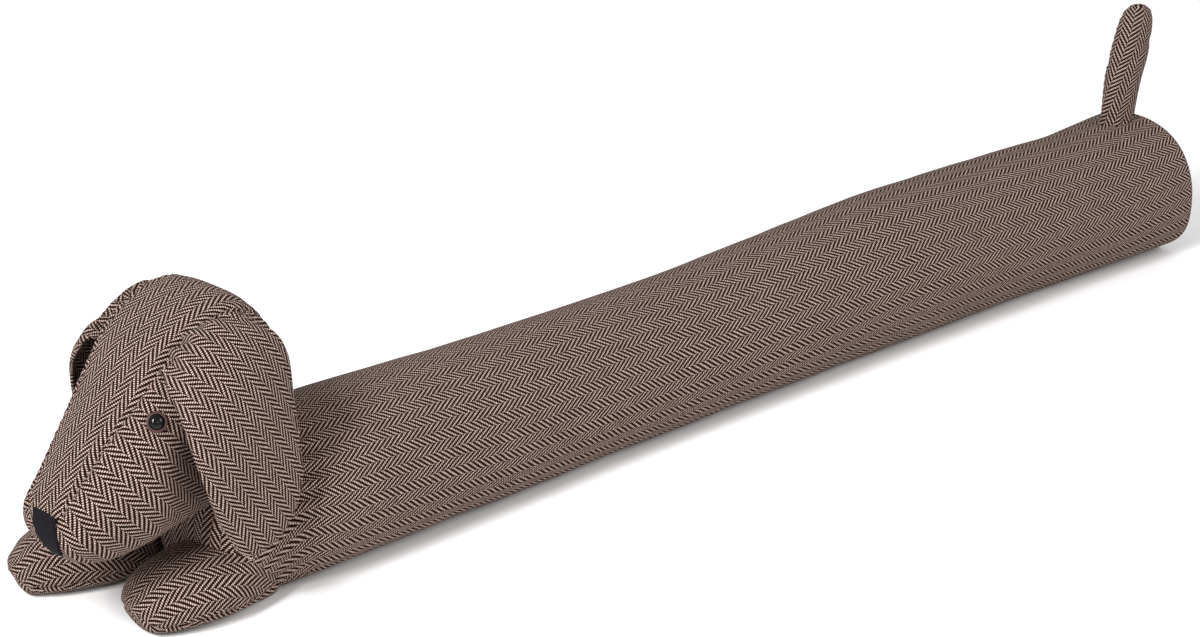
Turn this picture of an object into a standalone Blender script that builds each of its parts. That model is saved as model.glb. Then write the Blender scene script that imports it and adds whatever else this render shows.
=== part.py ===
"""Draught excluder: a long filled tube of herringbone tweed in the shape of a lying dog.

The frame is metres with +Z up. The body runs along X with the head at -X and the tail at +X,
the floor is z = 0, and the origin is on the floor under the tube, near the middle of the length.
The dog's left side faces -Y.
"""
from math import acos, cos, pi, sin
from typing import NamedTuple

import bmesh
import bpy
from mathutils import Vector
from mathutils.bvhtree import BVHTree


class TubeSection(NamedTuple):
    """A cross-section of a filled tube: its place along the tube, half width and height."""

    place: float
    half_width: float
    height: float


class HeadSection(NamedTuple):
    """An upright cross-section of the head, with half the width of the gusset on top."""

    x: float
    half_width: float
    bottom: float
    top: float
    gusset: float


class EarRow(NamedTuple):
    """A row across a hanging ear: x, distance from the middle plane and z at three places."""

    front_x: float
    front_out: float
    front_z: float
    middle_x: float
    middle_out: float
    middle_z: float
    back_x: float
    back_out: float
    back_z: float


class TailSection(NamedTuple):
    """A cross-section of the tail: height over its foot, lean to the rear, two half widths."""

    rise: float
    lean: float
    half_length: float
    half_width: float


# Gaps between pieces
GAP = 0.0003
CUTTER_FLOOR = -0.010

# Body tube, from the chest to the round rear end
BODY_FRONT_X = -0.385
BODY_REAR_X = 0.4865
BODY_SQUARENESS = 2.15
BODY_BASE_SINK = 0.035
BODY_FRONT_ROUND = 0.026
BODY_REAR_ROUND = 0.006
BODY_REAR_DOME = 0.004
BODY_DOME_STEPS = 3
BODY_RING_POINTS = 30
BODY_STATIONS = 34
BODY_END_STEPS = 5
BODY_SECTIONS = (
    TubeSection(-0.385, 0.042, 0.078),
    TubeSection(-0.350, 0.050, 0.091),
    TubeSection(-0.310, 0.057, 0.0975),
    TubeSection(-0.200, 0.054, 0.095),
    TubeSection(-0.100, 0.051, 0.0937),
    TubeSection(0.000, 0.050, 0.0937),
    TubeSection(0.100, 0.051, 0.0972),
    TubeSection(0.200, 0.052, 0.1007),
    TubeSection(0.300, 0.0535, 0.0995),
    TubeSection(0.400, 0.0553, 0.0965),
    TubeSection(0.4865, 0.0585, 0.0985),
)

# Head, from the tip of the muzzle to the nape
NOSE_TIP_X = -0.4830
NOSE_TIP_Z = 0.077
NAPE_X = -0.318
NAPE_Z = 0.108
MUZZLE_TURN = 0.008
MUZZLE_TURN_START_X = -0.370
HEAD_SQUARENESS = 2.2
HEAD_GUSSET_STEPS = 3
HEAD_SIDE_STEPS = 11
HEAD_STEPS_PER_SECTION = 3
SEAM_DEPTH = 0.0012
HEAD_SECTIONS = (
    HeadSection(-0.478, 0.0240, 0.0655, 0.0895, 0.0120),
    HeadSection(-0.465, 0.0320, 0.0540, 0.106, 0.0155),
    HeadSection(-0.448, 0.0375, 0.0475, 0.1265, 0.0190),
    HeadSection(-0.428, 0.0440, 0.0460, 0.146, 0.0215),
    HeadSection(-0.409, 0.048, 0.047, 0.166, 0.024),
    HeadSection(-0.392, 0.051, 0.050, 0.180, 0.0245),
    HeadSection(-0.374, 0.053, 0.053, 0.190, 0.026),
    HeadSection(-0.356, 0.053, 0.055, 0.1895, 0.026),
    HeadSection(-0.340, 0.051, 0.058, 0.1785, 0.024),
    HeadSection(-0.330, 0.045, 0.066, 0.1610, 0.020),
    HeadSection(-0.322, 0.033, 0.082, 0.1380, 0.014),
)

# Paws: distance from the toe, half width and height
PAW_SQUARENESS = 2.2
PAW_BASE_SINK = 0.06
PAW_RING_POINTS = 20
PAW_STEPS_PER_SECTION = 3
PAW_TOE_HEIGHT = 0.014
PAW_SECTIONS = (
    TubeSection(0.004, 0.011, 0.023),
    TubeSection(0.012, 0.018, 0.031),
    TubeSection(0.028, 0.025, 0.037),
    TubeSection(0.055, 0.029, 0.042),
    TubeSection(0.080, 0.029, 0.044),
    TubeSection(0.094, 0.023, 0.044),
)
LEFT_TOE = (-0.434, -0.012)
LEFT_PAW_ROOT = (-0.340, -0.023)
RIGHT_TOE = (-0.457, 0.075)
RIGHT_PAW_ROOT = (-0.368, 0.043)

# Ears: rows from the root in the gusset seam down to the tip
EAR_THICKNESS = 0.004
EAR_COLUMNS = 12
RIGHT_EAR_FLARE = 1.04
EAR_STEPS_PER_ROW = 2
EAR_ROWS = (
    EarRow(-0.4080, 0.0210, 0.1560, -0.387, 0.0220, 0.1745, -0.360, 0.0220, 0.1755),
    EarRow(-0.4110, 0.0310, 0.1580, -0.387, 0.0340, 0.1790, -0.357, 0.0310, 0.1790),
    EarRow(-0.4140, 0.0410, 0.1515, -0.385, 0.0480, 0.1690, -0.348, 0.0430, 0.1710),
    EarRow(-0.4145, 0.0520, 0.1370, -0.381, 0.0580, 0.1520, -0.342, 0.0485, 0.1520),
    EarRow(-0.4130, 0.0590, 0.1180, -0.377, 0.0620, 0.1280, -0.339, 0.0530, 0.1300),
    EarRow(-0.4095, 0.0620, 0.1020, -0.373, 0.0640, 0.1040, -0.339, 0.0570, 0.1070),
    EarRow(-0.4045, 0.0630, 0.0840, -0.371, 0.0655, 0.0820, -0.341, 0.0610, 0.0850),
    EarRow(-0.3975, 0.0630, 0.0660, -0.370, 0.0655, 0.0620, -0.347, 0.0635, 0.0670),
    EarRow(-0.3870, 0.0630, 0.0540, -0.374, 0.0640, 0.0495, -0.361, 0.0630, 0.0525),
)

# Tail on top of the rear end
TAIL_X = -0.0245 + BODY_REAR_X
TAIL_FOOT_Z = 0.098
TAIL_RING_POINTS = 16
TAIL_STEPS_PER_SECTION = 2
TAIL_SECTIONS = (
    TailSection(-0.012, -0.0040, 0.0145, 0.0088),
    TailSection(0.002, -0.0035, 0.0148, 0.0090),
    TailSection(0.014, -0.0020, 0.0156, 0.0096),
    TailSection(0.034, 0.0015, 0.0172, 0.0106),
    TailSection(0.055, 0.0075, 0.0180, 0.0110),
    TailSection(0.071, 0.0115, 0.0168, 0.0102),
    TailSection(0.081, 0.0135, 0.0130, 0.0082),
    TailSection(0.086, 0.0140, 0.0075, 0.0047),
)
TAIL_TIP_RISE = 0.0875

# Felt nose patch on the tip of the muzzle
NOSE_HALF_WIDTH = 0.0100
NOSE_TOP_OFFSET = -0.0110
NOSE_POINT_OFFSET = -0.0140
NOSE_TOP_Z = 0.0886
NOSE_DROP = 0.0225
NOSE_POINT_HALF_WIDTH = 0.0018
NOSE_TAPER = 2.8
NOSE_LIFT = 0.00045
NOSE_THICKNESS = 0.0015
NOSE_STEPS = 8

# Safety eyes
LEFT_EYE = (-0.4205, 0.1350)
RIGHT_EYE = (-0.416, 0.1275)
EYE_SEGMENTS = 24
EYE_SEAT = 0.0005
RIM_RADIUS = 0.0060
RIM_HEIGHT = 0.0022
RIM_EDGE = 0.0008
RECESS_RADIUS = 0.0044
RECESS_FLOOR = 0.0010
PUPIL_RADIUS = 0.0041
PUPIL_SIDE = 0.0010
PUPIL_DOME = 0.0022
PUPIL_DOME_STEPS = 5

# Finishes: name, base colour and roughness
TWEED = ("tweed", (0.20, 0.16, 0.14), 0.95)
FELT = ("felt", (0.02, 0.02, 0.024), 0.98)
RIM_PLASTIC = ("eye_rim_plastic", (0.07, 0.028, 0.022), 0.35)
PUPIL_PLASTIC = ("eye_pupil_plastic", (0.006, 0.006, 0.007), 0.08)


def clear_scene():
    """Remove every object that the scene starts with."""
    for item in list(bpy.data.objects):
        bpy.data.objects.remove(item)


def finish(name, finish_values):
    """Make the Principled material of one sub-part."""
    label, colour, roughness = finish_values
    material = bpy.data.materials.new(f"{label}_{name}")
    material.use_nodes = True
    shader = material.node_tree.nodes["Principled BSDF"]
    shader.inputs["Base Color"].default_value = (*colour, 1.0)
    shader.inputs["Roughness"].default_value = roughness
    shader.inputs["Metallic"].default_value = 0.0
    return material


def add_object(name, bm, finish_values):
    """Turn a bmesh into a smooth named object with its own material."""
    bmesh.ops.recalc_face_normals(bm, faces=bm.faces)
    mesh = bpy.data.meshes.new(name)
    bm.to_mesh(mesh)
    bm.free()
    mesh.shade_smooth()
    mesh.materials.append(finish(name, finish_values))
    item = bpy.data.objects.new(name, mesh)
    bpy.context.scene.collection.objects.link(item)
    return item


def add_cutter(name, bm):
    """Turn a bmesh into a hidden cutting body."""
    cutter = add_object(name, bm, TWEED)
    cutter.hide_render = True
    cutter.display_type = "WIRE"
    return cutter


def cut(item, cutters):
    """Trim an object by each of the cutting bodies."""
    for cutter in cutters:
        trim = item.modifiers.new(f"clear_of_{cutter.name}", "BOOLEAN")
        trim.operation = "DIFFERENCE"
        trim.solver = "EXACT"
        trim.object = cutter


def blend_rows(before, start, end, after, part):
    """Interpolate smoothly between two rows of a table, with a neighbour row on each side."""
    return tuple(
        b + 0.5 * part * (c - a + part * (2 * a - 5 * b + 4 * c - d + part * (3 * (b - c) + d - a)))
        for a, b, c, d in zip(before, start, end, after)
    )


def smooth_rows(rows, steps):
    """Fill in a table of rows: each interval is divided in the given number of steps."""
    filled = []
    for index in range(len(rows) - 1):
        before = rows[max(index - 1, 0)]
        after = rows[min(index + 2, len(rows) - 1)]
        for step in range(steps):
            filled.append(blend_rows(before, rows[index], rows[index + 1], after, step / steps))
    return filled + [tuple(rows[-1])]


def row_at(rows, place):
    """Read a table at a place along its first column."""
    last = len(rows) - 1
    index = min(max(sum(row[0] <= place for row in rows) - 1, 0), last - 1)
    start, end = rows[index], rows[index + 1]
    part = min(max((place - start[0]) / (end[0] - start[0]), 0.0), 1.0)
    return blend_rows(rows[max(index - 1, 0)], start, end, rows[min(index + 2, last)], part)


def skin_rings(rings, start_pole=None, end_pole=None):
    """Join closed rings of points one to the next, and close both ends."""
    bm = bmesh.new()
    loops = [[bm.verts.new(point) for point in ring] for ring in rings]
    count = len(rings[0])
    for one, two in zip(loops, loops[1:]):
        for index in range(count):
            follow = (index + 1) % count
            bm.faces.new((one[index], one[follow], two[follow], two[index]))
    for loop, pole in ((loops[0], start_pole), (loops[-1], end_pole)):
        if pole is None:
            bm.faces.new(loop)
            continue
        tip = bm.verts.new(pole)
        for index in range(count):
            bm.faces.new((loop[index], loop[(index + 1) % count], tip))
    return bm


def rounded(value, squareness):
    """Bend a sine or cosine so that a circle turns into a squarer oval."""
    return (1 if value >= 0 else -1) * abs(value) ** (2 / squareness)


def flat_based_oval(half_width, height, inset, sink, squareness, points, floor):
    """Give the sideways and upright places of an oval whose foot is pressed flat on the floor."""
    half_height = height * (1 + sink) / 2
    middle = height - half_height
    oval = []
    for index in range(points):
        angle = 2 * pi * (index + 0.5) / points
        side = (half_width - inset) * rounded(cos(angle), squareness)
        rise = middle + (half_height - inset) * rounded(sin(angle), squareness)
        oval.append((side, max(rise, floor)))
    return oval


def body_stations():
    """List the places of the body's rings along X, each with its inset at the rounded ends."""
    front, rear = BODY_FRONT_X + BODY_FRONT_ROUND, BODY_REAR_X - BODY_REAR_ROUND
    turns = [pi / 2 * step / BODY_END_STEPS for step in range(1, BODY_END_STEPS + 1)]
    chest_end = [(front - BODY_FRONT_ROUND * sin(turn), BODY_FRONT_ROUND * (1 - cos(turn)))
                 for turn in reversed(turns)]
    straight = [(front + (rear - front) * step / BODY_STATIONS, 0.0)
                for step in range(BODY_STATIONS + 1)]
    tail_end = [(rear + BODY_REAR_ROUND * sin(turn), BODY_REAR_ROUND * (1 - cos(turn)))
                for turn in turns]
    return chest_end + straight + tail_end


def body_mesh(grow=0.0):
    """Skin the body tube, larger all round by grow."""
    floor = CUTTER_FLOOR if grow else 0.0
    rings = []
    for x, inset in body_stations():
        _, half_width, height = row_at(BODY_SECTIONS, x)
        oval = flat_based_oval(half_width + grow, height + grow, inset, BODY_BASE_SINK,
                               BODY_SQUARENESS, BODY_RING_POINTS, floor)
        shift = grow if x > 0 else -grow
        rings.append([(x + shift, side, rise) for side, rise in oval])
    middle_z = BODY_SECTIONS[-1].height / 2
    rim = rings[-1]
    for step in range(1, BODY_DOME_STEPS):
        turn = pi / 2 * step / BODY_DOME_STEPS
        rings.append([(x + BODY_REAR_DOME * sin(turn), cos(turn) * y,
                       middle_z + cos(turn) * (z - middle_z)) for x, y, z in rim])
    return skin_rings(rings, (BODY_FRONT_X - grow, 0, BODY_SECTIONS[0].height / 2),
                      (BODY_REAR_X + BODY_REAR_DOME + grow, 0, middle_z))


def head_middle(x):
    """Give the sideways place of the head's middle, which turns a little to the left."""
    part = max((MUZZLE_TURN_START_X - x) / (MUZZLE_TURN_START_X - NOSE_TIP_X), 0.0)
    return -MUZZLE_TURN * part ** 2


def head_ring(section, grow):
    """Give the points of one upright ring of the head, with its two gusset seams drawn in."""
    x, half_width, bottom, top, gusset = section
    middle, reach_z = (top + bottom) / 2, (top - bottom) / 2 + grow
    reach_y = half_width + grow
    seam = acos(min(gusset / half_width, 1.0) ** (HEAD_SQUARENESS / 2))
    angles = [pi / 2 - (pi / 2 - seam) * step / HEAD_GUSSET_STEPS
              for step in range(HEAD_GUSSET_STEPS + 1)]
    angles += [seam - (seam + pi / 2) * step / HEAD_SIDE_STEPS
               for step in range(1, HEAD_SIDE_STEPS + 1)]
    half = []
    for index, angle in enumerate(angles):
        depth = SEAM_DEPTH if index == HEAD_GUSSET_STEPS and not grow else 0.0
        part = 1 - depth / half_width
        half.append((x, part * reach_y * rounded(cos(angle), HEAD_SQUARENESS),
                     middle + part * reach_z * rounded(sin(angle), HEAD_SQUARENESS)))
    ring = half + [(px, -py, pz) for px, py, pz in reversed(half[1:-1])]
    return [(px, head_middle(x) + py, pz) for px, py, pz in ring]


def head_mesh(grow=0.0):
    """Skin the head from the tip of the muzzle to the nape, larger all round by grow."""
    first, last = HEAD_SECTIONS[0], HEAD_SECTIONS[-1]
    tip = (NOSE_TIP_X, 0.0, NOSE_TIP_Z, NOSE_TIP_Z, 0.0)
    nape = (NAPE_X, 0.0, NAPE_Z, NAPE_Z, 0.0)
    before = (first.x, -first.half_width, first.top, first.bottom, -first.gusset)
    after = (last.x, -last.half_width, last.top, last.bottom, -last.gusset)
    table = [before, tip, *HEAD_SECTIONS, nape, after]
    filled = smooth_rows(table, HEAD_STEPS_PER_SECTION)
    inner = filled[HEAD_STEPS_PER_SECTION + 1:-HEAD_STEPS_PER_SECTION - 1]
    rings = [head_ring(section, grow) for section in inner]
    return skin_rings(rings, (NOSE_TIP_X - grow, head_middle(NOSE_TIP_X), NOSE_TIP_Z),
                      (NAPE_X + grow, head_middle(NAPE_X), NAPE_Z))


def paw_mesh(toe, root):
    """Skin a filled paw that lies on the floor from its toe to its root."""
    start = Vector((*toe, 0.0))
    along = (Vector((*root, 0.0)) - start).normalized()
    across = Vector((-along.y, along.x, 0.0))
    first = PAW_SECTIONS[0]
    tip = (0.0, 0.0, 2 * PAW_TOE_HEIGHT)
    before = (first.place, -first.half_width, first.height)
    filled = smooth_rows([before, tip, *PAW_SECTIONS], PAW_STEPS_PER_SECTION)
    rings = []
    for place, half_width, height in filled[PAW_STEPS_PER_SECTION + 1:]:
        lift = PAW_TOE_HEIGHT * max(1 - place / PAW_SECTIONS[1].place, 0.0) ** 2
        oval = flat_based_oval(half_width, height - lift, 0.0, PAW_BASE_SINK,
                               PAW_SQUARENESS, PAW_RING_POINTS, -lift)
        rings.append([start + place * along + side * across + Vector((0, 0, rise + lift))
                      for side, rise in oval])
    return skin_rings(rings, start + Vector((0, 0, PAW_TOE_HEIGHT)))


def ear_point(row, part):
    """Read a point across an ear row, from the front edge at 0 to the back edge at 1."""
    front, middle, back = (Vector(row[index:index + 3]) for index in (0, 3, 6))
    bend = 2 * middle - (front + back) / 2
    return (1 - part) ** 2 * front + 2 * part * (1 - part) * bend + part ** 2 * back


def ear_mesh(side, flare):
    """Skin a double-layered ear as a curved sheet of even thickness, spread out by flare."""
    rows = smooth_rows(EAR_ROWS, EAR_STEPS_PER_ROW)
    outer = []
    for row in rows:
        line = [ear_point(row, column / EAR_COLUMNS) for column in range(EAR_COLUMNS + 1)]
        outer.append([Vector((point.x, side * flare * point.y, point.z)) for point in line])
    inner = []
    for index, line in enumerate(outer):
        above, below = outer[max(index - 1, 0)], outer[min(index + 1, len(outer) - 1)]
        layer = []
        for column, point in enumerate(line):
            across = line[min(column + 1, EAR_COLUMNS)] - line[max(column - 1, 0)]
            normal = across.cross(below[column] - above[column]).normalized()
            layer.append(point + side * EAR_THICKNESS * normal)
        inner.append(layer)
    rings = [front + back[::-1] for front, back in zip(outer, inner)]
    return skin_rings(rings)


def tail_mesh():
    """Skin the flat filled tail that stands on the rear end."""
    rings = []
    for rise, lean, half_length, half_width in smooth_rows(TAIL_SECTIONS, TAIL_STEPS_PER_SECTION):
        angles = (2 * pi * index / TAIL_RING_POINTS for index in range(TAIL_RING_POINTS))
        rings.append([(TAIL_X + lean + half_length * cos(angle), half_width * sin(angle),
                       TAIL_FOOT_Z + rise) for angle in angles])
    tip = (TAIL_X + TAIL_SECTIONS[-1].lean, 0.0, TAIL_FOOT_Z + TAIL_TIP_RISE)
    return skin_rings(rings, None, tip)


def head_surface():
    """Make a search tree of the head's surface."""
    bm = head_mesh()
    bmesh.ops.recalc_face_normals(bm, faces=bm.faces)
    tree = BVHTree.FromBMesh(bm)
    bm.free()
    return tree


def nose_mesh(surface):
    """Skin the felt shield that lies over the tip of the muzzle."""
    rings = []
    for row in range(NOSE_STEPS + 1):
        part = row / NOSE_STEPS
        reach = NOSE_POINT_HALF_WIDTH + (NOSE_HALF_WIDTH - NOSE_POINT_HALF_WIDTH) * (
            1 - part ** NOSE_TAPER)
        offset = NOSE_TOP_OFFSET + (NOSE_POINT_OFFSET - NOSE_TOP_OFFSET) * part
        layers = ([], [])
        for column in range(NOSE_STEPS + 1):
            start = Vector((NOSE_TIP_X - 1.0, offset + reach * (2 * column / NOSE_STEPS - 1),
                            NOSE_TOP_Z - NOSE_DROP * part))
            spot, normal, _, _ = surface.ray_cast(start, Vector((1, 0, 0)))
            layers[0].append(spot + NOSE_LIFT * normal)
            layers[1].append(spot + (NOSE_LIFT + NOSE_THICKNESS) * normal)
        rings.append(layers[0] + layers[1][::-1])
    return skin_rings(rings)


def turned_mesh(profile, seat, axis, tip_rise=None):
    """Turn a profile of radius and rise about an axis that starts at the seat."""
    turn = axis.to_track_quat("Z", "Y")
    rings = []
    for radius, rise in profile:
        angles = (2 * pi * index / EYE_SEGMENTS for index in range(EYE_SEGMENTS))
        rings.append([seat + turn @ Vector((radius * cos(angle), radius * sin(angle), rise))
                      for angle in angles])
    tip = None if tip_rise is None else seat + tip_rise * axis
    return skin_rings(rings, None, tip)


def add_eye(surface, side, side_name, place):
    """Add the washer and the domed pupil of one eye, square on the head's surface."""
    x, z = place
    start = Vector((x, side, z))
    spot, axis, _, _ = surface.ray_cast(start, Vector((0, -side, 0)))
    seat = spot + EYE_SEAT * axis
    washer = ((RIM_RADIUS - RIM_EDGE, 0.0), (RIM_RADIUS, RIM_EDGE),
              (RIM_RADIUS, RIM_HEIGHT - RIM_EDGE), (RIM_RADIUS - RIM_EDGE, RIM_HEIGHT),
              (RECESS_RADIUS, RIM_HEIGHT - RIM_EDGE / 2), (RECESS_RADIUS, RECESS_FLOOR))
    add_object(f"eye_rim_{side_name}", turned_mesh(washer, seat, axis), RIM_PLASTIC)
    foot = RECESS_FLOOR + GAP
    dome = [(PUPIL_RADIUS, foot), (PUPIL_RADIUS, foot + PUPIL_SIDE)]
    for step in range(1, PUPIL_DOME_STEPS):
        angle = 0.5 * pi * step / PUPIL_DOME_STEPS
        dome.append((PUPIL_RADIUS * cos(angle), foot + PUPIL_SIDE + PUPIL_DOME * sin(angle)))
    top = foot + PUPIL_SIDE + PUPIL_DOME
    add_object(f"eye_pupil_{side_name}", turned_mesh(dome, seat, axis, top), PUPIL_PLASTIC)


def main():
    """Build every piece of the draught excluder."""
    clear_scene()
    surface = head_surface()
    add_object("body", body_mesh(), TWEED)
    body_cutter = add_cutter("body_clearance", body_mesh(GAP))
    head_cutter = add_cutter("head_clearance", head_mesh(GAP))
    head = add_object("head", head_mesh(), TWEED)
    cut(head, [body_cutter])
    for name, toe, root in (("paw_left", LEFT_TOE, LEFT_PAW_ROOT),
                            ("paw_right", RIGHT_TOE, RIGHT_PAW_ROOT)):
        cut(add_object(name, paw_mesh(toe, root), TWEED), [body_cutter, head_cutter])
    for side, side_name, flare, eye_place in ((-1, "left", 1.0, LEFT_EYE),
                                              (1, "right", RIGHT_EAR_FLARE, RIGHT_EYE)):
        ear = add_object(f"ear_{side_name}", ear_mesh(side, flare), TWEED)
        cut(ear, [head_cutter, body_cutter])
        add_eye(surface, side, side_name, eye_place)
    cut(add_object("tail", tail_mesh(), TWEED), [body_cutter])
    add_object("nose", nose_mesh(surface), FELT)


main()
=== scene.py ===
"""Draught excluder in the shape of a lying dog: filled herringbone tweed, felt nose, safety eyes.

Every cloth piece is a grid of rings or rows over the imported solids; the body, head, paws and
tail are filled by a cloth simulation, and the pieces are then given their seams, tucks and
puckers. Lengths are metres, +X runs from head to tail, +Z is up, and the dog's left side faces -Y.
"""
import logging
from dataclasses import dataclass
from enum import Enum
from math import cos, pi, radians, sin
from typing import Callable, NamedTuple, Optional, Sequence, Union

import bpy
import numpy as np
from mathutils import Matrix, Vector, noise
from mathutils.bvhtree import BVHTree


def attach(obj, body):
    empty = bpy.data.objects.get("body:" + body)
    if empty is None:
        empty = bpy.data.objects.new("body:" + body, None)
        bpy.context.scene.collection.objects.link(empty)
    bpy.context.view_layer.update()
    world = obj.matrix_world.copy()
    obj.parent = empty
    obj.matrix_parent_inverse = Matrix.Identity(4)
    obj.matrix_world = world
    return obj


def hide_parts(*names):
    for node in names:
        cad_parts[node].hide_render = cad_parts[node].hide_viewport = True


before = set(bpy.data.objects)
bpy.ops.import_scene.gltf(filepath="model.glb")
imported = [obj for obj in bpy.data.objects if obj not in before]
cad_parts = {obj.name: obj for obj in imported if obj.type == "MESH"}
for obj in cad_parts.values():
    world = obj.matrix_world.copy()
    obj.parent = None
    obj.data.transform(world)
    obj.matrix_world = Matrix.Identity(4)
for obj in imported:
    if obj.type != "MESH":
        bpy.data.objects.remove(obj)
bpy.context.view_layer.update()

LOG = logging.getLogger("draught_excluder")
BODY = "root"
UV_NAME = "cloth"

Socket = bpy.types.NodeSocket
Value = Union[float, Sequence[float], Socket]


class Side(Enum):
    """The two sides of the dog, as the sign of Y."""

    LEFT = -1
    RIGHT = 1

    @property
    def word(self) -> str:
        """The side's name in lower case."""
        return self.name.lower()


class SlotName(Enum):
    """Names for the material slots."""

    TWEED = "tweed"
    FELT = "felt"
    RIM = "eye_rim"
    PUPIL = "eye_pupil"


class TubeSection(NamedTuple):
    """A cross-section of a filled tube: its place along the tube, half width and height."""

    place: float
    half_width: float
    height: float


class HeadSection(NamedTuple):
    """An upright cross-section of the head, with half the width of the gusset on top."""

    x: float
    half_width: float
    bottom: float
    top: float
    gusset: float


class EarRow(NamedTuple):
    """A row across a hanging ear: x, distance from the middle plane and z at three places."""

    front_x: float
    front_out: float
    front_z: float
    middle_x: float
    middle_out: float
    middle_z: float
    back_x: float
    back_out: float
    back_z: float


class TailSection(NamedTuple):
    """A cross-section of the tail: height over its foot, lean to the rear, two half widths."""

    rise: float
    lean: float
    half_length: float
    half_width: float


def spline(grid: np.ndarray, places: np.ndarray, axis: int = 0, closed: bool = False) -> np.ndarray:
    """Read a grid at fractional indices along one axis, by a curve through its values.

    Args:
        grid: the values, in any number of dimensions.
        places: the fractional indices.
        axis: the axis that they run along.
        closed: True where the axis runs round.

    Returns:
        The grid with that axis as long as places.
    """
    grid = np.moveaxis(np.asarray(grid, float), axis, 0)
    count = len(grid)
    start = np.clip(np.floor(places).astype(int), 0, count - 1 if closed else count - 2)
    part = (np.asarray(places) - start).reshape((-1,) + (1,) * (grid.ndim - 1))
    weights = (
        -0.5 * part + part ** 2 - 0.5 * part ** 3,
        1 - 2.5 * part ** 2 + 1.5 * part ** 3,
        0.5 * part + 2 * part ** 2 - 1.5 * part ** 3,
        -0.5 * part ** 2 + 0.5 * part ** 3,
    )
    made = 0.0
    for step, weight in zip((-1, 0, 1, 2), weights):
        index = (start + step) % count if closed else np.clip(start + step, 0, count - 1)
        made = made + weight * grid[index]
    return np.moveaxis(made, 0, axis)


def rounded(value: np.ndarray, squareness: float) -> np.ndarray:
    """Bend a sine or cosine so that a circle turns into a squarer oval."""
    return np.sign(value) * np.abs(value) ** (2 / squareness)


def unit(vectors: np.ndarray) -> np.ndarray:
    """Scale vectors to a length of one."""
    return vectors / np.maximum(np.linalg.norm(vectors, axis=-1, keepdims=True), 1e-12)


def run_length(points: np.ndarray, axis: int) -> np.ndarray:
    """Give the length run along one axis of a grid of points, from 0 at its first index.

    Args:
        points: the grid of points.
        axis: the axis.

    Returns:
        The lengths, in the grid's shape.
    """
    steps = np.linalg.norm(np.diff(points, axis=axis), axis=-1)
    start = np.zeros_like(np.take(steps, [0], axis=axis))
    return np.concatenate([start, np.cumsum(steps, axis=axis)], axis=axis)


def outward(points: np.ndarray, closed: bool = True) -> np.ndarray:
    """Give the unit normals of a grid of rings, pointing away from the middle of each ring.

    Args:
        points: the grid of points.
        closed: True where the rows are rings.

    Returns:
        The normals, in the grid's shape.
    """
    along = np.gradient(points, axis=0)
    if closed:
        across = (np.roll(points, -1, axis=1) - np.roll(points, 1, axis=1)) / 2
    else:
        across = np.gradient(points, axis=1)
    normals = unit(np.cross(across, along))
    middle = points.mean(axis=1, keepdims=True)
    turned = np.sign((normals * (points - middle)).sum(axis=-1).mean())
    return normals * (turned if closed and turned else 1.0)


def lumps(points: np.ndarray, size: float, seed: float) -> np.ndarray:
    """Give a smooth uneven value from -1 to 1 at each point of a grid.

    Args:
        points: the grid of points.
        size: the width of a lump in metres.
        seed: a shift that makes one pattern differ from another.

    Returns:
        The values, in the grid's shape.
    """
    flat = (points / size + seed).reshape(-1, 3)
    values = [noise.noise(Vector(point)) for point in flat]
    return np.array(values).reshape(points.shape[:-1])


def bell(distance: np.ndarray, width: float) -> np.ndarray:
    """Give 1 at no distance and fall off softly over a width."""
    return np.exp(-(distance / width) ** 2)


def nearest(places: np.ndarray, place: float) -> int:
    """Give the index of the value that lies nearest to a place."""
    return int(np.argmin(np.abs(places - place)))


def even_turns(count: int) -> np.ndarray:
    """List evenly spaced angles round a ring, from 0."""
    return np.arange(count) * 2 * pi / count


def ring_closed(points: np.ndarray) -> np.ndarray:
    """Repeat the first point of each ring at its end."""
    return np.concatenate([points, points[:, :1]], axis=1)


def paired(across: np.ndarray, along: np.ndarray) -> np.ndarray:
    """Pair flat coordinates, where the second may be one for a whole row."""
    return np.stack([across, along * np.ones_like(across)], axis=-1)


class Lump(NamedTuple):
    """A layer of unevenness in a filling: how far it stands out, its width and its seed."""

    height: float
    size: float
    seed: float


def lumpy(points: np.ndarray, layers: Sequence[Lump], shift: float = 0.0) -> np.ndarray:
    """Add up layers of unevenness, each with its seed moved by a shift."""
    return sum(layer.height * lumps(points, layer.size, layer.seed + shift) for layer in layers)


@dataclass(frozen=True)
class Seam:
    """The relief of a seam: its groove, the puckers of its stitches and the ridges beside it."""

    groove: float
    groove_width: float
    pucker: float
    pucker_width: float
    stitch: float
    ridge: float = 0.0
    ridge_place: float = 0.0
    ridge_width: float = 0.001
    sway: float = 0.0
    sway_size: float = 0.02
    sway_seed: float = 0.0

    def relief(self, distance: np.ndarray, along: np.ndarray, line: np.ndarray) -> np.ndarray:
        """Say how far the cloth stands out near the seam.

        Args:
            distance: each point's distance from the seam.
            along: the length along the seam.
            line: the points on the seam.

        Returns:
            How far each point stands out.
        """
        sway = self.sway * lumps(line, self.sway_size, self.sway_seed)
        ripple = np.cos(2 * pi * along / self.stitch + sway)
        return (self.ridge * bell(np.abs(distance) - self.ridge_place, self.ridge_width)
                - self.groove * bell(distance, self.groove_width)
                + self.pucker * ripple * bell(distance, self.pucker_width))


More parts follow.
